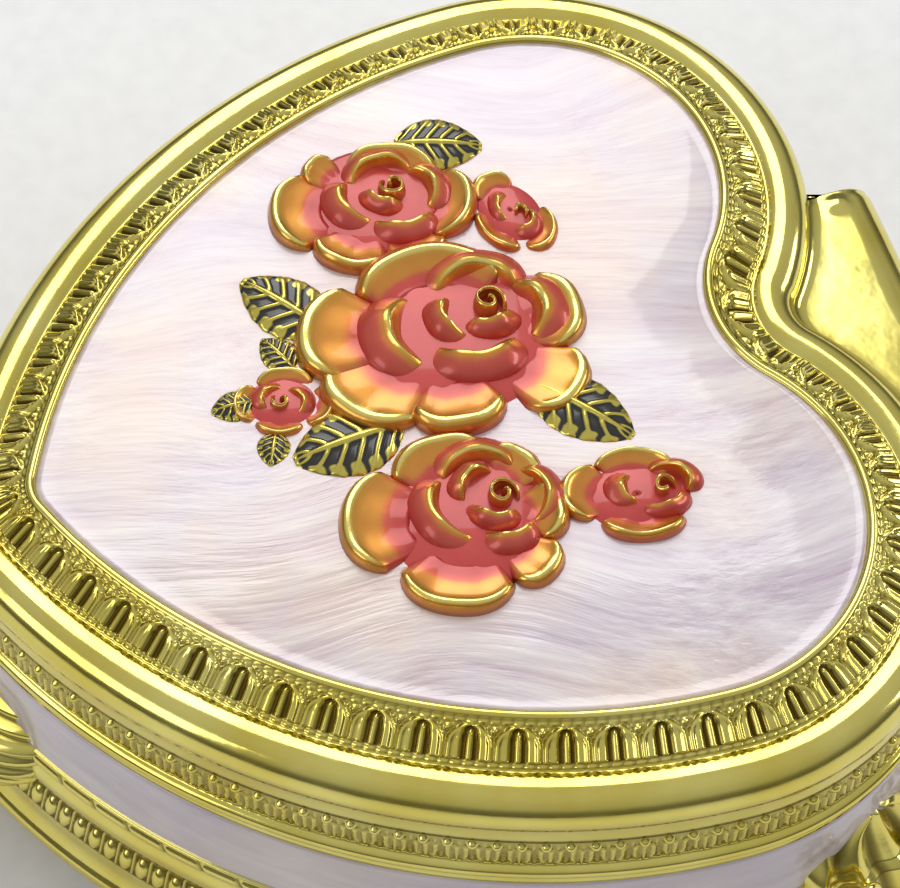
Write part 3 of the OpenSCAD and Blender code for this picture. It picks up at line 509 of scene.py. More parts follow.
# ---- lid ----
lid = {"columns": 1612, "at": 6, "cavityOut": 8.4,
       "roofZ": span("mirror_frame")[1][2], "trayZ": span("lid_mirror")[1][2] + 0.3}
p = panelZ
lidProfile = (
    curve([(0, p - 1.6), (0, p - 0.2), (0.12, p + 0.22), (0.5, p + 0.42), (0.9, p + 0.22), (1.02, p - 0.1)],
          9)
    + [(1.02, p - 0.1, 3, "dots"), (1.5, p - 0.4, 26, "leaf"), (4.6, p - 2.05, 4, "dots")]
    + curve([(5.1, p - 2.4), (5.25, p - 2.5), (5.55, p - 2.25), (6.3, p - 1.95), (7.2, p - 1.85),
             (8.2, p - 2.1),
             (9.1, p - 2.75), (9.75, p - 3.7), (10, p - 4.6), (9.95, p - 5.3), (9.7, p - 5.9)], 26)
    + curve([(9.7, p - 5.9), (9.66, p - 6.4), (9.76, p - 7.6), (9.84, p - 8.5)], 4)
    # painted shadow in the groove between the rim and the bead band
    + curve([(9.84, p - 8.5), (9.6, p - 8.7), (9.66, p - 8.85)], 2, "dark")
    + [(9.66, p - 8.85, 10, "bead"), (9.8, p - 10.4, 11, "tongue")]
    + curve([(9.95, p - 13.1), (10.15, p - 13.2), (10.65, p - 13.45), (10.95, p - 13.9), (10.9, p - 14.4),
             (10.6, p - 14.75), (10.1, lidZ)], 9)
    # the lid's underside is painted dark: painted shadow
    + [(10.1, lidZ, 1, "dark"), (lid["cavityOut"], lidZ, 2, None), (lid["cavityOut"], lid["roofZ"], 2, None),
       (-0.8, lid["roofZ"], 1, None), (-0.8, lid["trayZ"], 1, None), (-2.6, lid["trayZ"], 1, None),
       (-2.6, p - 1.6, 1, None)])
points, faces, darkening = casting(lidProfile, lid["columns"], lid["at"])
makePiece("lid_casting", points, faces, gold, "lid", "gold_plate", ["lid_shell"], recess=darkening)
print("lid casting made")

panel = {"rings": 56, "spokes": 480, "rise": 0.65, "centre": (0, lobeY - 8)}
spoke = rail(panel["spokes"], -seatGap)
ringAt = np.linspace(0, 1, panel["rings"])[:, None] ** 0.8


def panelHeight(reach):
    # low dome with a small raised meniscus where the enamel meets the gold wire
    return panelZ - 0.3 + panel["rise"] * (1 - reach ** 3) + 0.2 * fade(reach, 0.975, 1)


edgeX, edgeY = heartXY(spoke, -0.02)
x = panel["centre"][0] + (edgeX - panel["centre"][0]) * ringAt
y = panel["centre"][1] + (edgeY - panel["centre"][1]) * ringAt
z = panelHeight(ringAt) + 0 * x
top = np.stack([x, y, z], -1)
bottom = top[-1] * [1, 1, 0] + [0, 0, panelZ - 1.55]
points, faces = capped(np.concatenate([bottom[None], top[::-1]]))
makePiece("lid_panel", points, faces, pearl, "lid", "pearl_enamel", ["lid_enamel"])

# velvet-covered mirror frame: a soft crowned face looking down
frameZ = span("mirror_frame")[0][2]
rows = curve([(8.2, frameZ + 0.9), (8.25, frameZ + 0.35), (7.8, frameZ + 0.03), (2, frameZ),
              (-3.4, frameZ + 0.04),
              (-3.95, frameZ + 0.4), (-3.95, frameZ + 0.9)], 22)
points, faces, darkening = casting(rows[::-1] + [(-3.95, frameZ + 0.98, 1, None)], 420, 2)
rng.normal(0, 0.012, points.shape[:2])  # unused: it keeps the later random draws as they were
makePiece("mirror_frame_velvet", points, faces, velvet, "lid", "velvet", ["mirror_frame"])
print("lid panel and mirror frame made")


# ---- roses ----
# a petal is (from degrees, to degrees, reach at each end, width, top, place of its ridge)
def stretched(x, y, stretch):
    # lengthened along one direction, given as (factor, degrees)
    axis = math.radians(stretch[1])
    along = x * math.cos(axis) + y * math.sin(axis)
    return x + (stretch[0] - 1) * along * math.cos(axis), y + (stretch[0] - 1) * along * math.sin(axis)


def thicken(obj, depth):
    thick = obj.modifiers.new("thickness", "SOLIDIFY")
    thick.thickness = depth * mm
    thick.offset = -1


def petalMesh(centre, base, row, stretch):
    a0, a1, reach0, reach1, width, top, ridge = row
    cupped = ridge < cuppedRidge
    if cupped:
        width *= 1.35  # they run down under the next ones
    count = max(12, int(abs(a1 - a0) / 3.5))
    a = np.linspace(-1, 1, count)[:, None]
    v = np.linspace(0, 1, 15)[None, :]
    turn = np.radians(a0 + (a1 - a0) * (a + 1) / 2)
    swell = 1 - 0.2 * np.abs(a) ** 3
    reach = (reach0 + (reach1 - reach0) * (a + 1) / 2) * swell
    across = width * (1 - 0.35 * a ** 4)
    r = np.maximum(reach - across * (1 - v), 0.05)
    inner = np.clip(v / ridge, 0, 1)
    outer = np.clip((v - ridge) / (1 - ridge), 0, 1)
    floor = 0.45 if ridge > 0.5 else 0.2
    rise = np.where(v < ridge, floor + (1 - floor) * inner ** 1.7, np.sqrt(np.clip(1 - outer ** 2, 0, 1)))
    taper = np.clip(1 - np.abs(a) ** (2.4 if cupped else 5), 0, 1) ** (0.75 if cupped else 0.5)
    curl = 0.06 * np.sin(2.3 * math.pi * a + a0) * rise
    lip = 0.2 * np.exp(-((v - ridge) / 0.07) ** 2) * taper
    z = base + top * (rise * (0.3 + 0.7 * taper) + curl * taper) + lip - 0.2
    x, y = r * np.cos(turn), r * np.sin(turn)
    x, y = stretched(x, y, stretch)
    rim = np.exp(-((v - ridge) / 0.09) ** 2) * (0.35 + 0.65 * taper)
    body = fade(v, 0.12 * ridge, 0.62 * ridge) if ridge > 0.5 else fade(v, 0.1 * ridge, ridge)
    warm = np.clip(0.02 + 0.5 * body * taper + 0.5 * rim + 0 * a, 0, 1)
    slope = 0.46 - 0.44 * outer if cupped else 0.5 - 0.2 * outer
    warm = np.where(v > ridge, np.maximum(0.5 * rim + slope, slope), warm)
    points = np.stack([centre[0] + x, centre[1] + y, z], -1)
    return points, gridFaces(count, 15), warm


def domeMesh(centre, base, radius, top, stretch):
    a = np.linspace(0, 2 * math.pi, 48, endpoint=False)
    r = np.linspace(0.02, 1, 14)[:, None]
    x, y = radius * r * np.cos(a), radius * r * np.sin(a)
    x, y = stretched(x, y, stretch)
    z = base + top * (1 - r ** 2.2) - 0.1 + 0 * x
    return np.stack([centre[0] + x, centre[1] + y, z], -1), gridFaces(14, 48,
                                                                      closeCols=True), np.full(x.shape, 0.06)


roses = {
    "rose_centre": {
        "at": (-5.4, -14.2), "eye": (-7.2, -9.4), "base": 9.2, "dome": 1.3, "stretch": (1.14, 72),
                    "size": 1.27,
        "outer": [(222, 284, 10.6, 11.6, 6.6, 2.2, 0.86), (274, 330, 11.6, 10.6, 6.4, 2.0, 0.84),
                  (322, 376, 10.2, 9.4, 5.2, 2.3, 0.8), (20, 66, 11.4, 10.8, 5.6, 1.7, 0.86),
                  (62, 118, 9.8, 10.6, 5.2, 1.9, 0.84), (128, 226, 8.8, 9.4, 4.4, 2.5, 0.7)],
        "inner": [(236, 306, 8.6, 9.8, 3.2, 2.7, 0.4), (300, 392, 7.4, 6.2, 3.0, 2.75, 0.4),
                  (30, 128, 6.8, 5.4, 2.8, 2.6, 0.4), (120, 232, 5.4, 6.6, 2.6, 2.7, 0.4),
                  (238, 316, 4.9, 5.4, 1.9, 2.95, 0.35), (296, 420, 3.6, 3.0, 1.6, 2.95, 0.35)],
        "spiral": (40, 600, 2.4, 0.5, 1.0, 3.0, 0.45)},
    "rose_upper": {
        "at": (-22.9, -16.2), "eye": (-24.4, -14.4), "base": 7.4, "dome": 1.1, "stretch": (1.1, 72),
                   "size": 1.14,
        "outer": [(224, 292, 9.4, 9.8, 4.6, 1.7, 0.85), (286, 350, 8.4, 7.8, 4.2, 1.9, 0.8),
                  (200, 232, 8.6, 8.0, 3.4, 1.5, 0.8), (110, 196, 7.6, 7.2, 3.4, 1.9, 0.75),
                  (36, 112, 7.6, 8.8, 3.6, 1.9, 0.75), (346, 400, 7.4, 8.2, 4.0, 1.8, 0.8)],
        "inner": [(232, 318, 6.4, 5.8, 2.4, 2.3, 0.4), (318, 404, 5.6, 6.2, 2.3, 2.3, 0.4),
                  (40, 140, 5.6, 4.6, 2.2, 2.2, 0.4), (130, 244, 4.6, 5.6, 2.0, 2.35, 0.4),
                  (250, 372, 3.6, 3.0, 1.5, 2.6, 0.35)],
        "spiral": (200, 700, 2.1, 0.5, 0.9, 2.65, 0.45)},
    "rose_lower": {
        "at": (15.6, -18.2), "eye": (14.8, -15.0), "base": 8.2, "dome": 1.1, "stretch": (1.08, 72),
                   "size": 1.15,
        "outer": [(222, 292, 10.4, 11.4, 5.8, 1.8, 0.86), (296, 368, 10.2, 9.6, 4.8, 1.8, 0.84),
                  (8, 52, 9.2, 8.6, 4.6, 1.6, 0.82), (48, 104, 8.0, 7.4, 4.0, 1.9, 0.78),
                  (150, 226, 8.2, 9.2, 4.6, 1.9, 0.78), (104, 152, 7.6, 8.2, 4.0, 1.7, 0.78)],
        "inner": [(226, 318, 7.6, 6.6, 2.6, 2.3, 0.4), (140, 226, 6.4, 7.4, 2.4, 2.35, 0.4),
                  (318, 392, 6.0, 5.4, 2.2, 2.2, 0.4), (28, 140, 5.4, 5.0, 2.0, 2.3, 0.4),
                  (180, 262, 4.6, 4.9, 1.6, 2.6, 0.35), (268, 386, 4.0, 3.2, 1.5, 2.55, 0.35)],
        "spiral": (60, 560, 2.2, 0.6, 0.9, 2.65, 0.45)},
    "bud_upper": {
        "at": (-18.4, -3.4), "eye": (-17.8, -2.6), "base": 3.4, "dome": 0.9, "stretch": (1.35, 20),
                  "size": 1.15,
        "outer": [(150, 236, 3.9, 3.6, 1.9, 1.3, 0.75), (262, 350, 3.6, 4.2, 2.0, 1.3, 0.75),
                  (356, 452, 4.2, 3.8, 1.8, 1.1, 0.75)],
        "inner": [(180, 300, 2.7, 2.3, 1.2, 1.65, 0.4), (320, 470, 2.6, 2.0, 1.2, 1.6, 0.4)],
        "spiral": (20, 300, 1.2, 0.5, 0.6, 1.75, 0.45)},
    "bud_lower": {
        "at": (18.3, -2.2), "eye": (18.5, 0.6), "base": 4.2, "dome": 1.0, "stretch": (1.35, 78),
                  "size": 1.15,
        "outer": [(204, 292, 5.4, 5.0, 2.8, 1.5, 0.8), (300, 398, 4.4, 4.9, 2.4, 1.6, 0.75),
                  (120, 206, 4.6, 5.2, 2.6, 1.5, 0.78)],
        "inner": [(210, 300, 4.0, 3.2, 1.7, 1.95, 0.4), (310, 430, 2.9, 2.6, 1.3, 2.0, 0.4),
                  (70, 190, 2.8, 3.6, 1.4, 1.95, 0.4)],
        "spiral": (80, 460, 1.6, 0.5, 0.7, 2.15, 0.45)},
    "rose_small": {
        "at": (-2.6, -32.6), "eye": (-2.6, -32.8), "base": 3.4, "dome": 0.7, "stretch": (1.25, 70),
                   "size": 1.15,
        "outer": [(20, 108, 3.8, 3.9, 1.7, 1.0, 0.75), (118, 208, 3.9, 3.5, 1.7, 1.0, 0.75),
                  (214, 296, 3.6, 3.9, 1.7, 1.0, 0.75), (300, 376, 3.7, 3.5, 1.6, 1.0, 0.75)],
        "inner": [(30, 150, 2.6, 2.2, 1.1, 1.3, 0.4), (160, 290, 2.5, 2.2, 1.1, 1.35, 0.4)],
        "spiral": (200, 560, 1.4, 0.5, 0.6, 1.5, 0.45)}}
sprayTop = span("rose_spray")[1][2] - panelZ
for name, rose in roses.items():
    at = np.array(rose["at"]) + [0, lobeY]
    eye = np.array(rose["eye"]) + [0, lobeY]
    grow = rose["size"]
    rows = [(*r[:2], r[2] * grow, r[3] * grow, r[4] * grow, r[5], r[6]) for r in rose["outer"]
            + rose["inner"]]
    outer = len(rose["outer"])
    parts = [domeMesh(at, panelZ, rose["base"] * grow, rose["dome"], rose["stretch"])]
    parts += [petalMesh(at, panelZ, row, rose["stretch"]) for row in rows[:outer]]
    parts += [petalMesh(eye * 0.75 + at * 0.25, panelZ, row,
                        rose["stretch"]) for row in rows[outer:outer + 2]]
    parts += [petalMesh(eye, panelZ, row, rose["stretch"]) for row in rows[outer + 2:]]
    parts += [petalMesh(eye, panelZ, rose["spiral"], (1, 0))]
    points, faces, warm = joined(parts)
    points[:, 2] = np.minimum(points[:, 2], panelZ + sprayTop - 0.02)
    made = makePiece(name, points, faces, coral, "lid", "rose_enamel",
                     ["rose_spray"] if name == "rose_centre" else (), warm=warm)
    thicken(made, 0.25)


def leafMesh(base, tip, half, top):
    # serrated blade with a midrib, six pairs of slanting veins and a raised edge
    base, tip = np.array(base, float), np.array(tip, float)
    u = np.linspace(0, 1, 60)[:, None]
    v = np.linspace(-1, 1, 33)[None, :]
    run = tip - base
    side = np.array([-run[1], run[0]]) / np.linalg.norm(run)
    teeth = 1 + 0.1 * (np.abs((u * 6) % 1 - 0.5) - 0.25)
    wide = half * np.sin(math.pi * np.clip(u * 0.94 + 0.03, 0, 1) ** 0.85) ** 0.75 * teeth
    midrib = np.exp(-(v / 0.09) ** 2)
    vein = np.clip(np.cos(2 * math.pi * (u * 6 - np.abs(v) * 1.5)), 0, 1) ** 2 * (1 - midrib)
    edge = fade(np.abs(v), 0.52, 0.74) * (0.6 + 0.4 * np.cos(2 * math.pi * (u * 6 - 1.1)))
    dome = np.sqrt(np.clip(1 - v ** 2 * 0.97, 0, 1)) * np.sin(math.pi * np.clip(u, 0.03, 0.97)) ** 0.4
    z = top * (0.62 * dome + 0.3 * np.maximum(midrib, 0.75 * vein) * dome)
    x = base[0] + run[0] * u + side[0] * wide * v
    y = base[1] + run[1] * u + side[1] * wide * v
    warm = np.clip(np.maximum(np.maximum(midrib, 0.8 * vein), edge) + 0 * u, 0, 1)
    warm = np.maximum(warm, 0.9 * fade(np.abs(u - 0.5), 0.44, 0.5))
    z = np.where(np.abs(v) > 0.99, -0.4, z)
    return np.stack([x, y, panelZ + 0.1 + z + 0 * x], -1), gridFaces(60, 33), warm


leaves = [((-30.6, -12.4), (-27.6, -3.6), 3.6, 1.3), ((-9.6, -26.0), (-18.2, -32.6), 3.8, 1.3),
          ((3.4, -22.0), (4.4, -33.4), 4.3, 1.4), ((2.6, -7.8), (11.6, -0.2), 3.8, 1.4),
          ((-3.6, -35.4), (-3.6, -39.8), 1.9, 0.9), ((0.6, -34.2), (4.2, -35.8), 1.8, 0.9),
          ((-6.2, -30.4), (-10.6, -32.6), 2.0, 0.9)]
points, faces, warm = joined([leafMesh((b[0], b[1] + lobeY), (q[0], q[1] + lobeY), half, top)
                              for b, q, half, top in leaves])
made = makePiece("rose_leaves", points, faces, veined, "lid", "gold_plate", warm=warm)
thicken(made, 0.3)
print("roses and leaves made")

# ---- body ----
b = baseZ
q = partZ
body = {"columns": 1660, "at": 12, "cavityOut": 8}
bodyProfile = (
    [(body["cavityOut"], q, 1, None), (9.9, q, 1, None)]
    + curve([(9.9, q), (10.15, q - 0.15), (10.2, q - 0.6), (10.2, q - 1), (10.4, q - 1.5)], 6)
    + [(10.4, q - 1.6, 1, None), (9.85, q - 1.65, 1, None), (10.5, q - 5.6, 1, None),
       (11.3, b + 15.05, 1, None)]
    + curve([(11.9, b + 15), (12, b + 14.9), (12.05, b + 14.75)], 2)
    + [(12.05, b + 14.75, 8, "rope")]
    + curve([(12.15, b + 13.2), (12.1, b + 12.9), (12.3, b + 12.3), (12.65, b + 11.6), (12.8, b + 10.7),
             (12.75, b + 9.9), (12.5, b + 9.4), (12.55, b + 9.1)], 12)
    + [(12.6, b + 9, 13, "egg")]
    + curve([(13.9, b + 6.1), (13.95, b + 5.7), (14.15, b + 4.6), (14.6, b + 3.5), (14.95, b + 3),
             (15.35, b + 2.55), (15.5, b + 1.9), (15.48, b + 1.1), (15.2, b + 0.5), (14.7, b)], 20)
    + [(14.7, b, 2, None), (11.6, b, 1, None), (11.6, floorZ, 1, None),
       (body["cavityOut"], floorZ, 1, None)])
points, faces, darkening = casting(bodyProfile, body["columns"], body["at"])
makePiece("body_casting", points, faces, gold, "case", "gold_plate", ["body_shell"], recess=darkening)

wall = [(10.36, q - 1.72), (10.5, q - 2.1), (11.12, q - 5.6), (11.82, b + 15.5), (11.84, b + 15.1)]
wallRows = curve(wall, 12) + [(11.84, b + 15.08, 1, None), (11.34, b + 15.08, 1, None),
                              (10.54, q - 5.6, 1, None),
                              (9.9, q - 1.72, 1, None)]
points, faces, darkening = casting(wallRows, 720, 11)
makePiece("body_wall_enamel", points, faces, pearlWall, "case", "pearl_enamel", ["body_enamel"])
print("body casting and wall enamel made")

# ---- hinge ----
pinLow, pinHigh = span("hinge_pin")
leafHigh = span("lid_hinge_leaf")[1]
blockLow, blockHigh = span("body_hinge_block")
hinge = {"y": (pinLow[1] + pinHigh[1]) / 2, "z": (pinLow[2] + pinHigh[2]) / 2, "half": leafHigh[0],
         "cover": leafHigh[1] - (pinLow[1] + pinHigh[1]) / 2, "block": blockHigh[0]}


def rimBack(x, d):
    # y of the heart's back edge at offset d, over the cleft and both lobes
    cleftR = max(heart["cleftR"] - d, 1)
    cleftY = lobeY + math.sqrt((heart["lobeR"] + d + cleftR) ** 2 - lobeX ** 2)
    bend = cleftR * math.cos(math.atan2(lobeY - cleftY, lobeX))
    if abs(x) < bend:
        return cleftY - math.sqrt(cleftR ** 2 - x ** 2)
    return lobeY + math.sqrt((heart["lobeR"] + d) ** 2 - (abs(x) - lobeX) ** 2)


def plateLoop(x):
    # section across the hinge plate: fillet up the rim, flat bridge, rolled back edge and the underside
    edge = abs(x) / hinge["half"]
    y0 = rimBack(x, 9.62)
    y1 = hinge["y"] + 0.4 * (1 - edge ** 2)
    top = hinge["z"] + hinge["cover"] - 0.25 * fade(edge, 0.9, 1)
    crest = 0.45 * math.exp(-((edge - 0.88) / 0.07) ** 2)
    loop = []
    for f in np.linspace(0, 1, 8):
        loop.append((x, y0 + 1.9 * f, top + 1.0 * (1 - f) ** 2.2))
    for f in np.linspace(0.15, 1, 8):
        loop.append((x, y0 + 1.9 + (y1 - y0 - 1.9) * f, top + crest * math.sin(math.pi * f * 0.75) ** 2))
    for a in np.linspace(8, 78, 9):
        out = hinge["cover"] - 0.03 - 0.2 * fade(edge, 0.93, 1)
        loop.append((x, y1 - 0.4 * (1 - edge ** 2) + out * math.sin(math.radians(a)),
                     hinge["z"] + out * math.cos(math.radians(a))))
    for a in np.linspace(76, 0, 8):
        loop.append((x, hinge["y"] + 3.05 * math.sin(math.radians(a)),
                     hinge["z"] + 3.05 * math.cos(math.radians(a))))
    for f in np.linspace(0.1, 1, 4):
        loop.append((x, hinge["y"] + (y0 - hinge["y"]) * f, hinge["z"] + 3.05))
    return loop


cutsX = np.concatenate([[-hinge["half"]], np.linspace(-hinge["half"] + 0.15, hinge["half"] - 0.15, 75),
                        [hinge["half"]]])
points, faces = capped([plateLoop(x) for x in cutsX])
makePiece("hinge_plate", points, faces, gold, "lid", "gold_plate", ["lid_hinge_leaf"])


def barrel(x0, x1, radius, bore):
    # knuckle with rounded ends and two turned grooves, lying along X
    e = 0.35
    rows = [(bore, x0), (radius - e, x0), (radius - 0.1, x0 + 0.1), (radius, x0 + e)]
    for g in (x0 + 1.2, x1 - 1.2):
        rows += [(radius, g - 0.25), (radius - 0.18, g), (radius, g + 0.25)]
    rows += [(radius, x1 - e), (radius - 0.1, x1 - 0.1), (radius - e, x1), (bore, x1)]
    turned = lathe(rows)
    points = np.stack([turned[..., 2], hinge["y"] + turned[..., 0], hinge["z"] + turned[..., 1]], -1)
    return points, gridFaces(len(rows), 48, closeRows=True, closeCols=True)


points, faces, _ = joined([barrel(hinge["block"] + 0.3, hinge["half"] - 0.05, 2.95, 1.05),
                           barrel(-hinge["half"] + 0.05, -hinge["block"] - 0.3, 2.95, 1.05)])
makePiece("hinge_knuckles", points, faces, gold, "lid", "gold_plate")
points, faces = barrel(-hinge["block"], hinge["block"], 2.6, 1.0)
makePiece("hinge_block_barrel", points, faces, gold, "case", "gold_plate")

# web and shelf of the hinge block, thick castings with eased edges
webY = hinge["y"] - 3.8
shelf = {"z0": blockLow[2], "z1": partZ - 0.4}
loops = []
for x in np.concatenate([[-hinge["block"]], np.linspace(-hinge["block"] + 0.3, hinge["block"] - 0.3, 25),
                         [hinge["block"]]]):
    ease = 0.3 * (abs(x) > hinge["block"] - 0.01)
    y0 = max(rimBack(x, 11.45), rimBack(0, 11.45)) + ease
    loops.append([(x, y0, shelf["z1"] - ease), (x, webY + 0.2, shelf["z1"] - ease),
                  (x, webY, shelf["z1"] + 0.2),
                  (x, webY + ease, hinge["z"] - 1.2), (x, webY + 2.4, hinge["z"] - 1.2),
                  (x, webY + 2.9 - ease, hinge["z"] - 2.2),
                  (x, webY + 3 - ease, shelf["z0"] + 1.6), (x, webY + 2.2, shelf["z0"] + 0.5 + ease),
                  (x, webY, shelf["z0"] + ease), (x, y0, shelf["z0"] + ease)])
points, faces = capped(loops)
makePiece("hinge_block_web", points, faces, gold, "case", "gold_plate", ["body_hinge_block"])
print("hinge made")


# ---- feet: shells that hug the mouldings, one row per height ----
def bodyOffset(z):
    # how far the body's side stands outside the panel outline at height z
    rows = sorted((r[1], r[0]) for r in bodyProfile if r[0] > 9.9 and r[2] > 0)
    zs, ds = np.array(rows).T
    return float(np.interp(z, zs, ds))


feet = {
    "foot_front": {"centre": pointC, "radius": heart["pointR"], "turn": -90, "tip": 21.8, "waist": 6.6,
                   "ribs": 8,
                   "topZ": b + 21.8},
    "foot_right": {"centre": lobeC, "radius": heart["lobeR"], "turn": 27, "tip": 10.5, "waist": 5.2,
                   "ribs": 0,
                   "topZ": b + 20.6},
    "foot_left": {"centre": lobeC * [-1, 1], "radius": heart["lobeR"], "turn": 153, "tip": 10.5,
                  "waist": 5.2,
                  "ribs": 0, "topZ": b + 20.6}}
footHeights = np.concatenate([np.linspace(0.62, 3, 9), np.linspace(3.4, b, 10),
                              np.linspace(b + 0.4, b + 22, 76)])


def footShell(foot):
    loops, darkening = [], []
    turn = math.radians(foot["turn"])
    for z in footHeights[footHeights <= foot["topZ"]]:
        up = (z - b) / (foot["topZ"] - b)
        wall = bodyOffset(max(z, b + 0.2)) if z > b else 11.2 + 3.6 * fade(z, b - 3.5, b)
        toe = 1 - fade(z, 0.6, b - 1)
        wide = (foot["waist"] * (0.72 + 0.28 * fade(z, 1, b))
                + (foot["tip"] - foot["waist"]) * fade(up, 0, 0.45))
        wide *= math.sqrt(max(1 - max((up - 0.72) / 0.285, 0) ** 2, 0.02))
        bulge = 3.2 + 1.6 * math.sin(math.pi * min(max(up, 0), 1) ** 0.8) - 2.6 * fade(up, 0.55, 1)
        reach = wall + bulge if z > b else 17.6 + 2.6 * toe - 1.4 * math.sin(math.pi * z / b)
        back = wall - 0.35 if z > b else wall
        if z < 2:
            reach -= 0.5 * (2 - z) ** 2 / 2
        s = np.linspace(-1, 1, 41)
        body = np.clip(1 - np.abs(s) ** 2.6, 0, 1) ** 0.55
        lift = np.zeros(41)
        if foot["ribs"] and z > b:
            wave = math.sin(2 * math.pi * foot["ribs"] * (up - 0.3) / 0.7)
            lift += 0.42 * wave * fade(up, 0.3, 0.36) * body ** 0.5
        elif z > b - 2:
            lift += 0.5 * np.cos(5 * math.pi * s * (0.75 + 0.25 * up)) * fade(z, b - 2, b + 2) * body
            lift += (0.5 * math.sin(2 * math.pi * 3 * up) * np.exp(-((np.abs(s) - 0.78) / 0.2) ** 2)
                     * fade(up, 0.5, 0.7))
        out = back + (reach - back) * body + lift
        around = turn + s * wide / (foot["radius"] + reach)
        front = np.stack([foot["centre"][0] + (foot["radius"] + out) * np.cos(around),
                          foot["centre"][1] + (foot["radius"] + out) * np.sin(around), np.full(41, z)], -1)
        behind = turn + s[::-1][1:-1] * wide / (foot["radius"] + reach) * 0.96
        rear = np.stack([foot["centre"][0] + (foot["radius"] + back - 0.2) * np.cos(behind),
                         foot["centre"][1] + (foot["radius"] + back - 0.2) * np.sin(behind), np.full(39, z)],
                        -1)
        loops.append(np.concatenate([front, rear]))
        # the foot's grooves are darkened: painted shade, partly patina
        darkening.append(np.concatenate([np.clip(-lift * 1.9, 0, 0.85), np.zeros(39)]))
    points, faces = capped(loops)
    return points, faces, np.concatenate([np.concatenate(darkening), [0, 0]])


def scroll(centre, normal, side, radius, tube, turns=1.6, flip=1):
    # tapering spiral wire standing on the foot's face
    normal, side = normal / np.linalg.norm(normal), side / np.linalg.norm(side)
    up = np.array([0, 0, 1.0])
    loops = []
    for f in np.linspace(0, 1, 44):
        a = f * turns * 2 * math.pi
        r = radius * (1 - 0.82 * f)
        here = centre + side * flip * r * math.cos(a) + up * r * math.sin(a) + normal * (0.5 * f)
        out = side * flip * math.cos(a) + up * math.sin(a)
        w = tube * (1 - 0.35 * f)
        ring = np.linspace(0, 2 * math.pi, 10, endpoint=False)
        loops.append([here + out * w * math.cos(k) + normal * w * math.sin(k) for k in ring])
    points, faces = capped(loops)
    return points, faces, np.zeros(len(points))


for name, foot in feet.items():
    parts = [footShell(foot)]
    turn = math.radians(foot["turn"])
    if not foot["ribs"]:
        for flip in (-1, 1):
            a = turn + flip * 6.2 / (foot["radius"] + 16)
            normal = np.array([math.cos(a), math.sin(a), 0])
            side = np.array([-math.sin(a), math.cos(a), 0])
            at = np.array([*foot["centre"], 0]) + normal * (foot["radius"] + 15.9) + [0, 0, b + 14.6]
            parts.append(scroll(at, normal, side, 2.9, 0.62, flip=flip))
    points, faces, darkening = joined(parts)
    makePiece(name + "_casting", points, faces, gold, "case", "gold_plate", [name], recess=darkening)
print("feet made")

pads = []
for foot in feet.values():
    turn = math.radians(foot["turn"])
    at = np.array(foot["centre"]) + (foot["radius"] + 17.1) * np.array([math.cos(turn), math.sin(turn)])
    disc = lathe([(0.01, 0), (2.1, 0), (2.28, 0.12), (2.3, 0.42), (2.15, 0.58), (0.01, 0.6)], 40)
    fuzz = rng.normal(0, 0.03, disc.shape)
    fuzz[[0, -1]] = 0
    fuzz[..., 2] = 0
    pads.append((disc + fuzz + [at[0], at[1], 0], gridFaces(6, 40, closeCols=True)))
points, faces, _ = joined(pads)
made = makePiece("felt_pads", points, faces, felt, "case", "felt", ["foot_pads"])

# ---- linings ----
liner = {"top": span("wall_liner")[1][2], "coverZ": span("movement_cover")[0][2], "in": 7.2, "out": 7.95,
         "wallX": span("movement_cover")[0][0]}
columns = 640
t = rail(columns, 7.6)
section = [(liner["out"], 0), (liner["out"], 1), (7.88, 1.0), (7.6, 1.02), (7.3, 1.0), (liner["in"], 0.985),
           (liner["in"], 0.66), (liner["in"], 0.33), (liner["in"], 0)]
nap = rng.normal(0, 0.02, (columns, len(section))) * [0, 0, 1, 1, 1, 1, 1, 1, 0]
d = np.array([row[0] for row in section])[None, :] + nap
x, y = heartXY(t[:, None], d)
cut = np.where(x[:, :1] > liner["wallX"] - 0.05, liner["coverZ"] - 0.05, liner["top"] - 0.05)
rise = np.array([row[1] for row in section])[None, :]
z = floorZ + (cut - floorZ) * np.minimum(rise, 1) + np.where(rise > 1, 0.05, 0)
makePiece("wall_velvet", np.stack([x, y, z], -1), gridFaces(columns, len(section), True, True), velvet,
          "case",
          "velvet", ["wall_liner"])

floorLow, floorHigh = span("velvet_floor")
tEdge = np.linspace(4, 8, 1200)
edgeX, edgeY = heartXY(tEdge, 7.1)
far = int(np.argmin(edgeX))
nx, ny = 70, 90
gx = (floorLow[0] + 0.1 + (floorHigh[0] - 0.05 - floorLow[0] - 0.1)
      * (0.5 - 0.5 * np.cos(np.linspace(0.06, math.pi, nx))))
low = np.interp(gx, edgeX[:far + 1][::-1], edgeY[:far + 1][::-1])
high = np.interp(gx, edgeX[far:], edgeY[far:])
fy = (0.5 - 0.5 * np.cos(np.linspace(0, math.pi, ny)))[None, :]
gy = low[:, None] + (high - low)[:, None] * fy
edgeNear = np.minimum(np.minimum(gy - low[:, None], high[:, None] - gy),
                      np.minimum(gx - gx[0], gx[-1] - gx)[:, None])
crown = floorLow[2] + 0.7 + (floorHigh[2] - floorLow[2] - 0.75) * (1 - np.exp(-edgeNear / 1.1))
crown += 0.05 * np.sin(gx[:, None] / 3.1) * np.cos(gy / 2.7) * fade(edgeNear, 0.5, 3)
topGrid = np.stack([gx[:, None] + 0 * gy, gy, crown], -1)
under = topGrid.copy()
under[..., 2] = floorLow[2] + 0.02
faces = gridFaces(nx, ny).tolist() + gridFaces(nx, ny, start=nx * ny).tolist()
ring = [(i, 0) for i in range(nx)] + [(nx - 1, j) for j in range(1, ny)]
ring += [(i, ny - 1) for i in range(nx - 2, -1, -1)] + [(0, j) for j in range(ny - 2, 0, -1)]
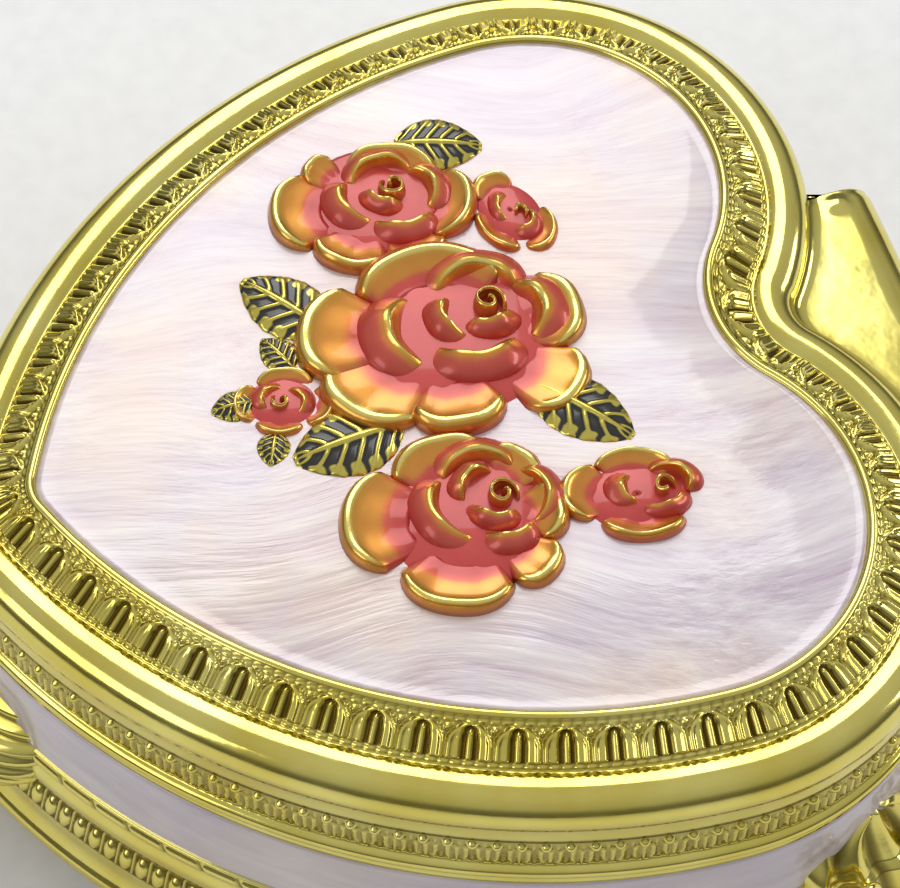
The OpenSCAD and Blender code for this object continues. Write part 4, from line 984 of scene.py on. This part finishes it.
for (i, j), (k, m) in zip(ring, ring[1:] + ring[:1]):
    faces.append([i * ny + j, k * ny + m, nx * ny + k * ny + m, nx * ny + i * ny + j])
made = makePiece("velvet_pad", np.concatenate([topGrid.reshape(-1, 3), under.reshape(-1, 3)]), faces, velvet,
                 "case",
                 "velvet", ["velvet_floor"])

wallLow, wallHigh = span("partition")
halfX, halfZ = (wallHigh[0] - wallLow[0]) / 2, (wallHigh[2] - wallLow[2]) / 2
loop = roundedLoop(halfX - 0.02, halfZ - 0.02, 0.5)
centre = np.array([(wallLow[0] + wallHigh[0]) / 2, 0, (wallLow[2] + wallHigh[2]) / 2])
loops = [loop * [1 - 0.25 * (i in (0, 60)), 1, 1] + centre + [0, yy, 0]
         for i, yy in enumerate(np.linspace(wallLow[1] + 0.3, wallHigh[1] - 0.3, 61))]
loops = np.array(loops) + rng.normal(0, 0.012, (61, len(loop), 3)) * [1, 0, 1]
points, faces = capped(loops)
makePiece("partition_velvet", points, faces, velvet, "case", "velvet", ["partition"])
print("linings made")

# ---- winding key under the base ----
keyLow, keyHigh = span("winding_key")
key = {"x": (keyLow[0] + keyHigh[0]) / 2, "y": (keyLow[1] + keyHigh[1]) / 2, "z": keyLow[2] + 3.4}
key["half"] = keyHigh[0] - key["x"]
keyTop = keyHigh[2]
stem = lathe([(1.65, keyLow[2] + 0.6), (1.65, keyTop), (2.5, keyTop), (2.8, keyTop - 0.3), (2.8, keyTop - 1),
              (2.5, keyTop - 1.25),
              (2.5, keyTop - 2.2), (2.75, keyTop - 2.5), (2.75, keyLow[2] + 0.5), (2.3, keyLow[2] + 0.05),
              (1.7, keyLow[2])])
parts = [(stem + [key["x"], key["y"], 0], gridFaces(11, 48, closeRows=True, closeCols=True))]
for flip in (-1, 1):
    a = np.linspace(0, 2 * math.pi, 56, endpoint=False)[:, None]
    c = np.linspace(0, 2 * math.pi, 12, endpoint=False)[None, :]
    r = 2.4 + 0.85 * np.cos(c)
    loopX = key["x"] + flip * (key["half"] - 3.3) + r * np.cos(a)
    loopZ = key["z"] + r * np.sin(a)
    parts.append((np.stack([loopX, key["y"] + 0.75 * np.sin(c) + 0 * a, loopZ], -1),
                  gridFaces(56, 12, True, True)))
    arm = np.array([roundedLoop(0.72, 1.3 - 0.2 * f, 0.5)[:, [1, 0, 2]]
                    + [key["x"] + flip * (2.2 + 1.6 * f), key["y"], key["z"]]
                    for f in np.linspace(0, 1, 6)])
    parts.append(capped(arm))
points, faces, _ = joined(parts)
makePiece("key_casting", points, faces, goldSoft, "winder", "gold_plate", ["winding_key"])

# ---- movement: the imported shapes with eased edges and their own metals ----
finishes = {
    gold: ["hinge_pin"], mirrorGlass: ["lid_mirror"], acrylic: ["movement_cover"],
    brass: ["base_plate", "bedplate", "cylinder_bearings", "governor_bracket", "plunger_guide"],
    turnedBrass: ["spring_housing", "great_wheel", "pin_cylinder", "cylinder_pinion", "cylinder_gear",
                  "governor_pinion", "worm_wheel"],
    steel: ["base_screws", "foot_screws", "bedplate_screws", "comb", "comb_screws", "governor_screws",
            "winding_arbor",
            "cylinder_pins", "cylinder_arbor", "governor_arbor", "worm_screw", "air_brake", "stop_plunger"],
    bluedSteel: ["mainspring", "clutch_spring"]}
for material, names in finishes.items():
    for name in names:
        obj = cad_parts[name]
        obj.data.materials.clear()
        obj.data.materials.append(material)
        if name in ("base_plate", "bedplate", "lid_mirror", "movement_cover", "cylinder_bearings",
                    "governor_bracket"):
            ease = obj.modifiers.new("eased edges", "BEVEL")
            ease.width = 0.15 * mm
            ease.segments = 2
            ease.limit_method = "ANGLE"
            ease.angle_limit = math.radians(40)
print("key and movement dressed")

# ---- stage, light and camera ----
bpy.ops.mesh.primitive_plane_add(size=6, location=(0, 0, -0.0002))
floor = bpy.context.object
floor.name = "studio_floor"
made, tree, shader = startMaterial("white paper sweep", Roughness=0.85, Specular_IOR_Level=0.2)
grain = addNode(tree, "TexNoise", {"Vector": objectCoords(tree), "Scale": 300, "Detail": 3})
tone = addNode(tree, "ValToRGB", {"Fac": grain.outputs["Fac"]}, stops=[(0.3, "#F4F4F4"), (0.7, "#FAFAFA")])
tree.links.new(tone.outputs[0], shader.inputs["Base Color"])
floor.data.materials.append(made)

world = bpy.data.worlds.new("soft studio")
bpy.context.scene.world = world
world.use_nodes = True
tree = world.node_tree
sky = addNode(tree, "TexCoord")
split = addNode(tree, "SeparateXYZ", {"Vector": sky.outputs["Generated"]})
tone = addNode(tree, "ValToRGB", {"Fac": split.outputs["Z"]},
               stops=[(0.0, "#7C7C78"), (0.2, "#8E8E8A"), (0.45, "#DCDCDA"), (1.0, "#FFFFFF")])
back = tree.nodes["Background"]
tree.links.new(tone.outputs[0], back.inputs["Color"])
back.inputs["Strength"].default_value = 0.6


def softbox(name, place, size, energy, aim=(0, 0, 0.04)):
    light = bpy.data.lights.new(name, "AREA")
    light.shape = "RECTANGLE"
    light.size, light.size_y = size
    light.energy = energy
    made = bpy.data.objects.new(name, light)
    made.location = place
    made.rotation_euler = (Vector(aim) - Vector(place)).to_track_quat("-Z", "Y").to_euler()
    bpy.context.scene.collection.objects.link(made)


softbox("key softbox", (-0.45, 0.1, 0.5), (0.35, 0.5), 1.7)
softbox("fill softbox", (0.15, -0.6, 0.4), (0.4, 0.3), 0.8)
softbox("back strip", (0.1, 0.6, 0.3), (0.5, 0.12), 1.0)

shot = {"azimuth": 71.75, "elevation": 58.31, "roll": 0.96, "distance": 0.2864,
        "target": (0.00685, 0.00278, 0.05),
        "lens": 114.6}
az, el, roll = (math.radians(shot[k]) for k in ("azimuth", "elevation", "roll"))
backward = Vector((math.sin(az) * math.cos(el), -math.cos(az) * math.cos(el), math.sin(el)))
right = Vector((math.cos(az), math.sin(az), 0))
up = backward.cross(right)
right, up = right * math.cos(roll) + up * math.sin(roll), up * math.cos(roll) - right * math.sin(roll)
lens = bpy.data.cameras.new("camera")
lens.lens = shot["lens"]
lens.sensor_width = 36
lens.clip_start = 0.01
camera = bpy.data.objects.new("camera", lens)
turn = Matrix((right, up, backward)).transposed().to_4x4()
turn.translation = Vector(shot["target"]) + backward * shot["distance"]
camera.matrix_world = turn
bpy.context.scene.collection.objects.link(camera)
bpy.context.scene.camera = camera
bpy.context.scene.view_settings.view_transform = "Standard"  # keeps the enamel's and plate's full colour

print("scene ready")
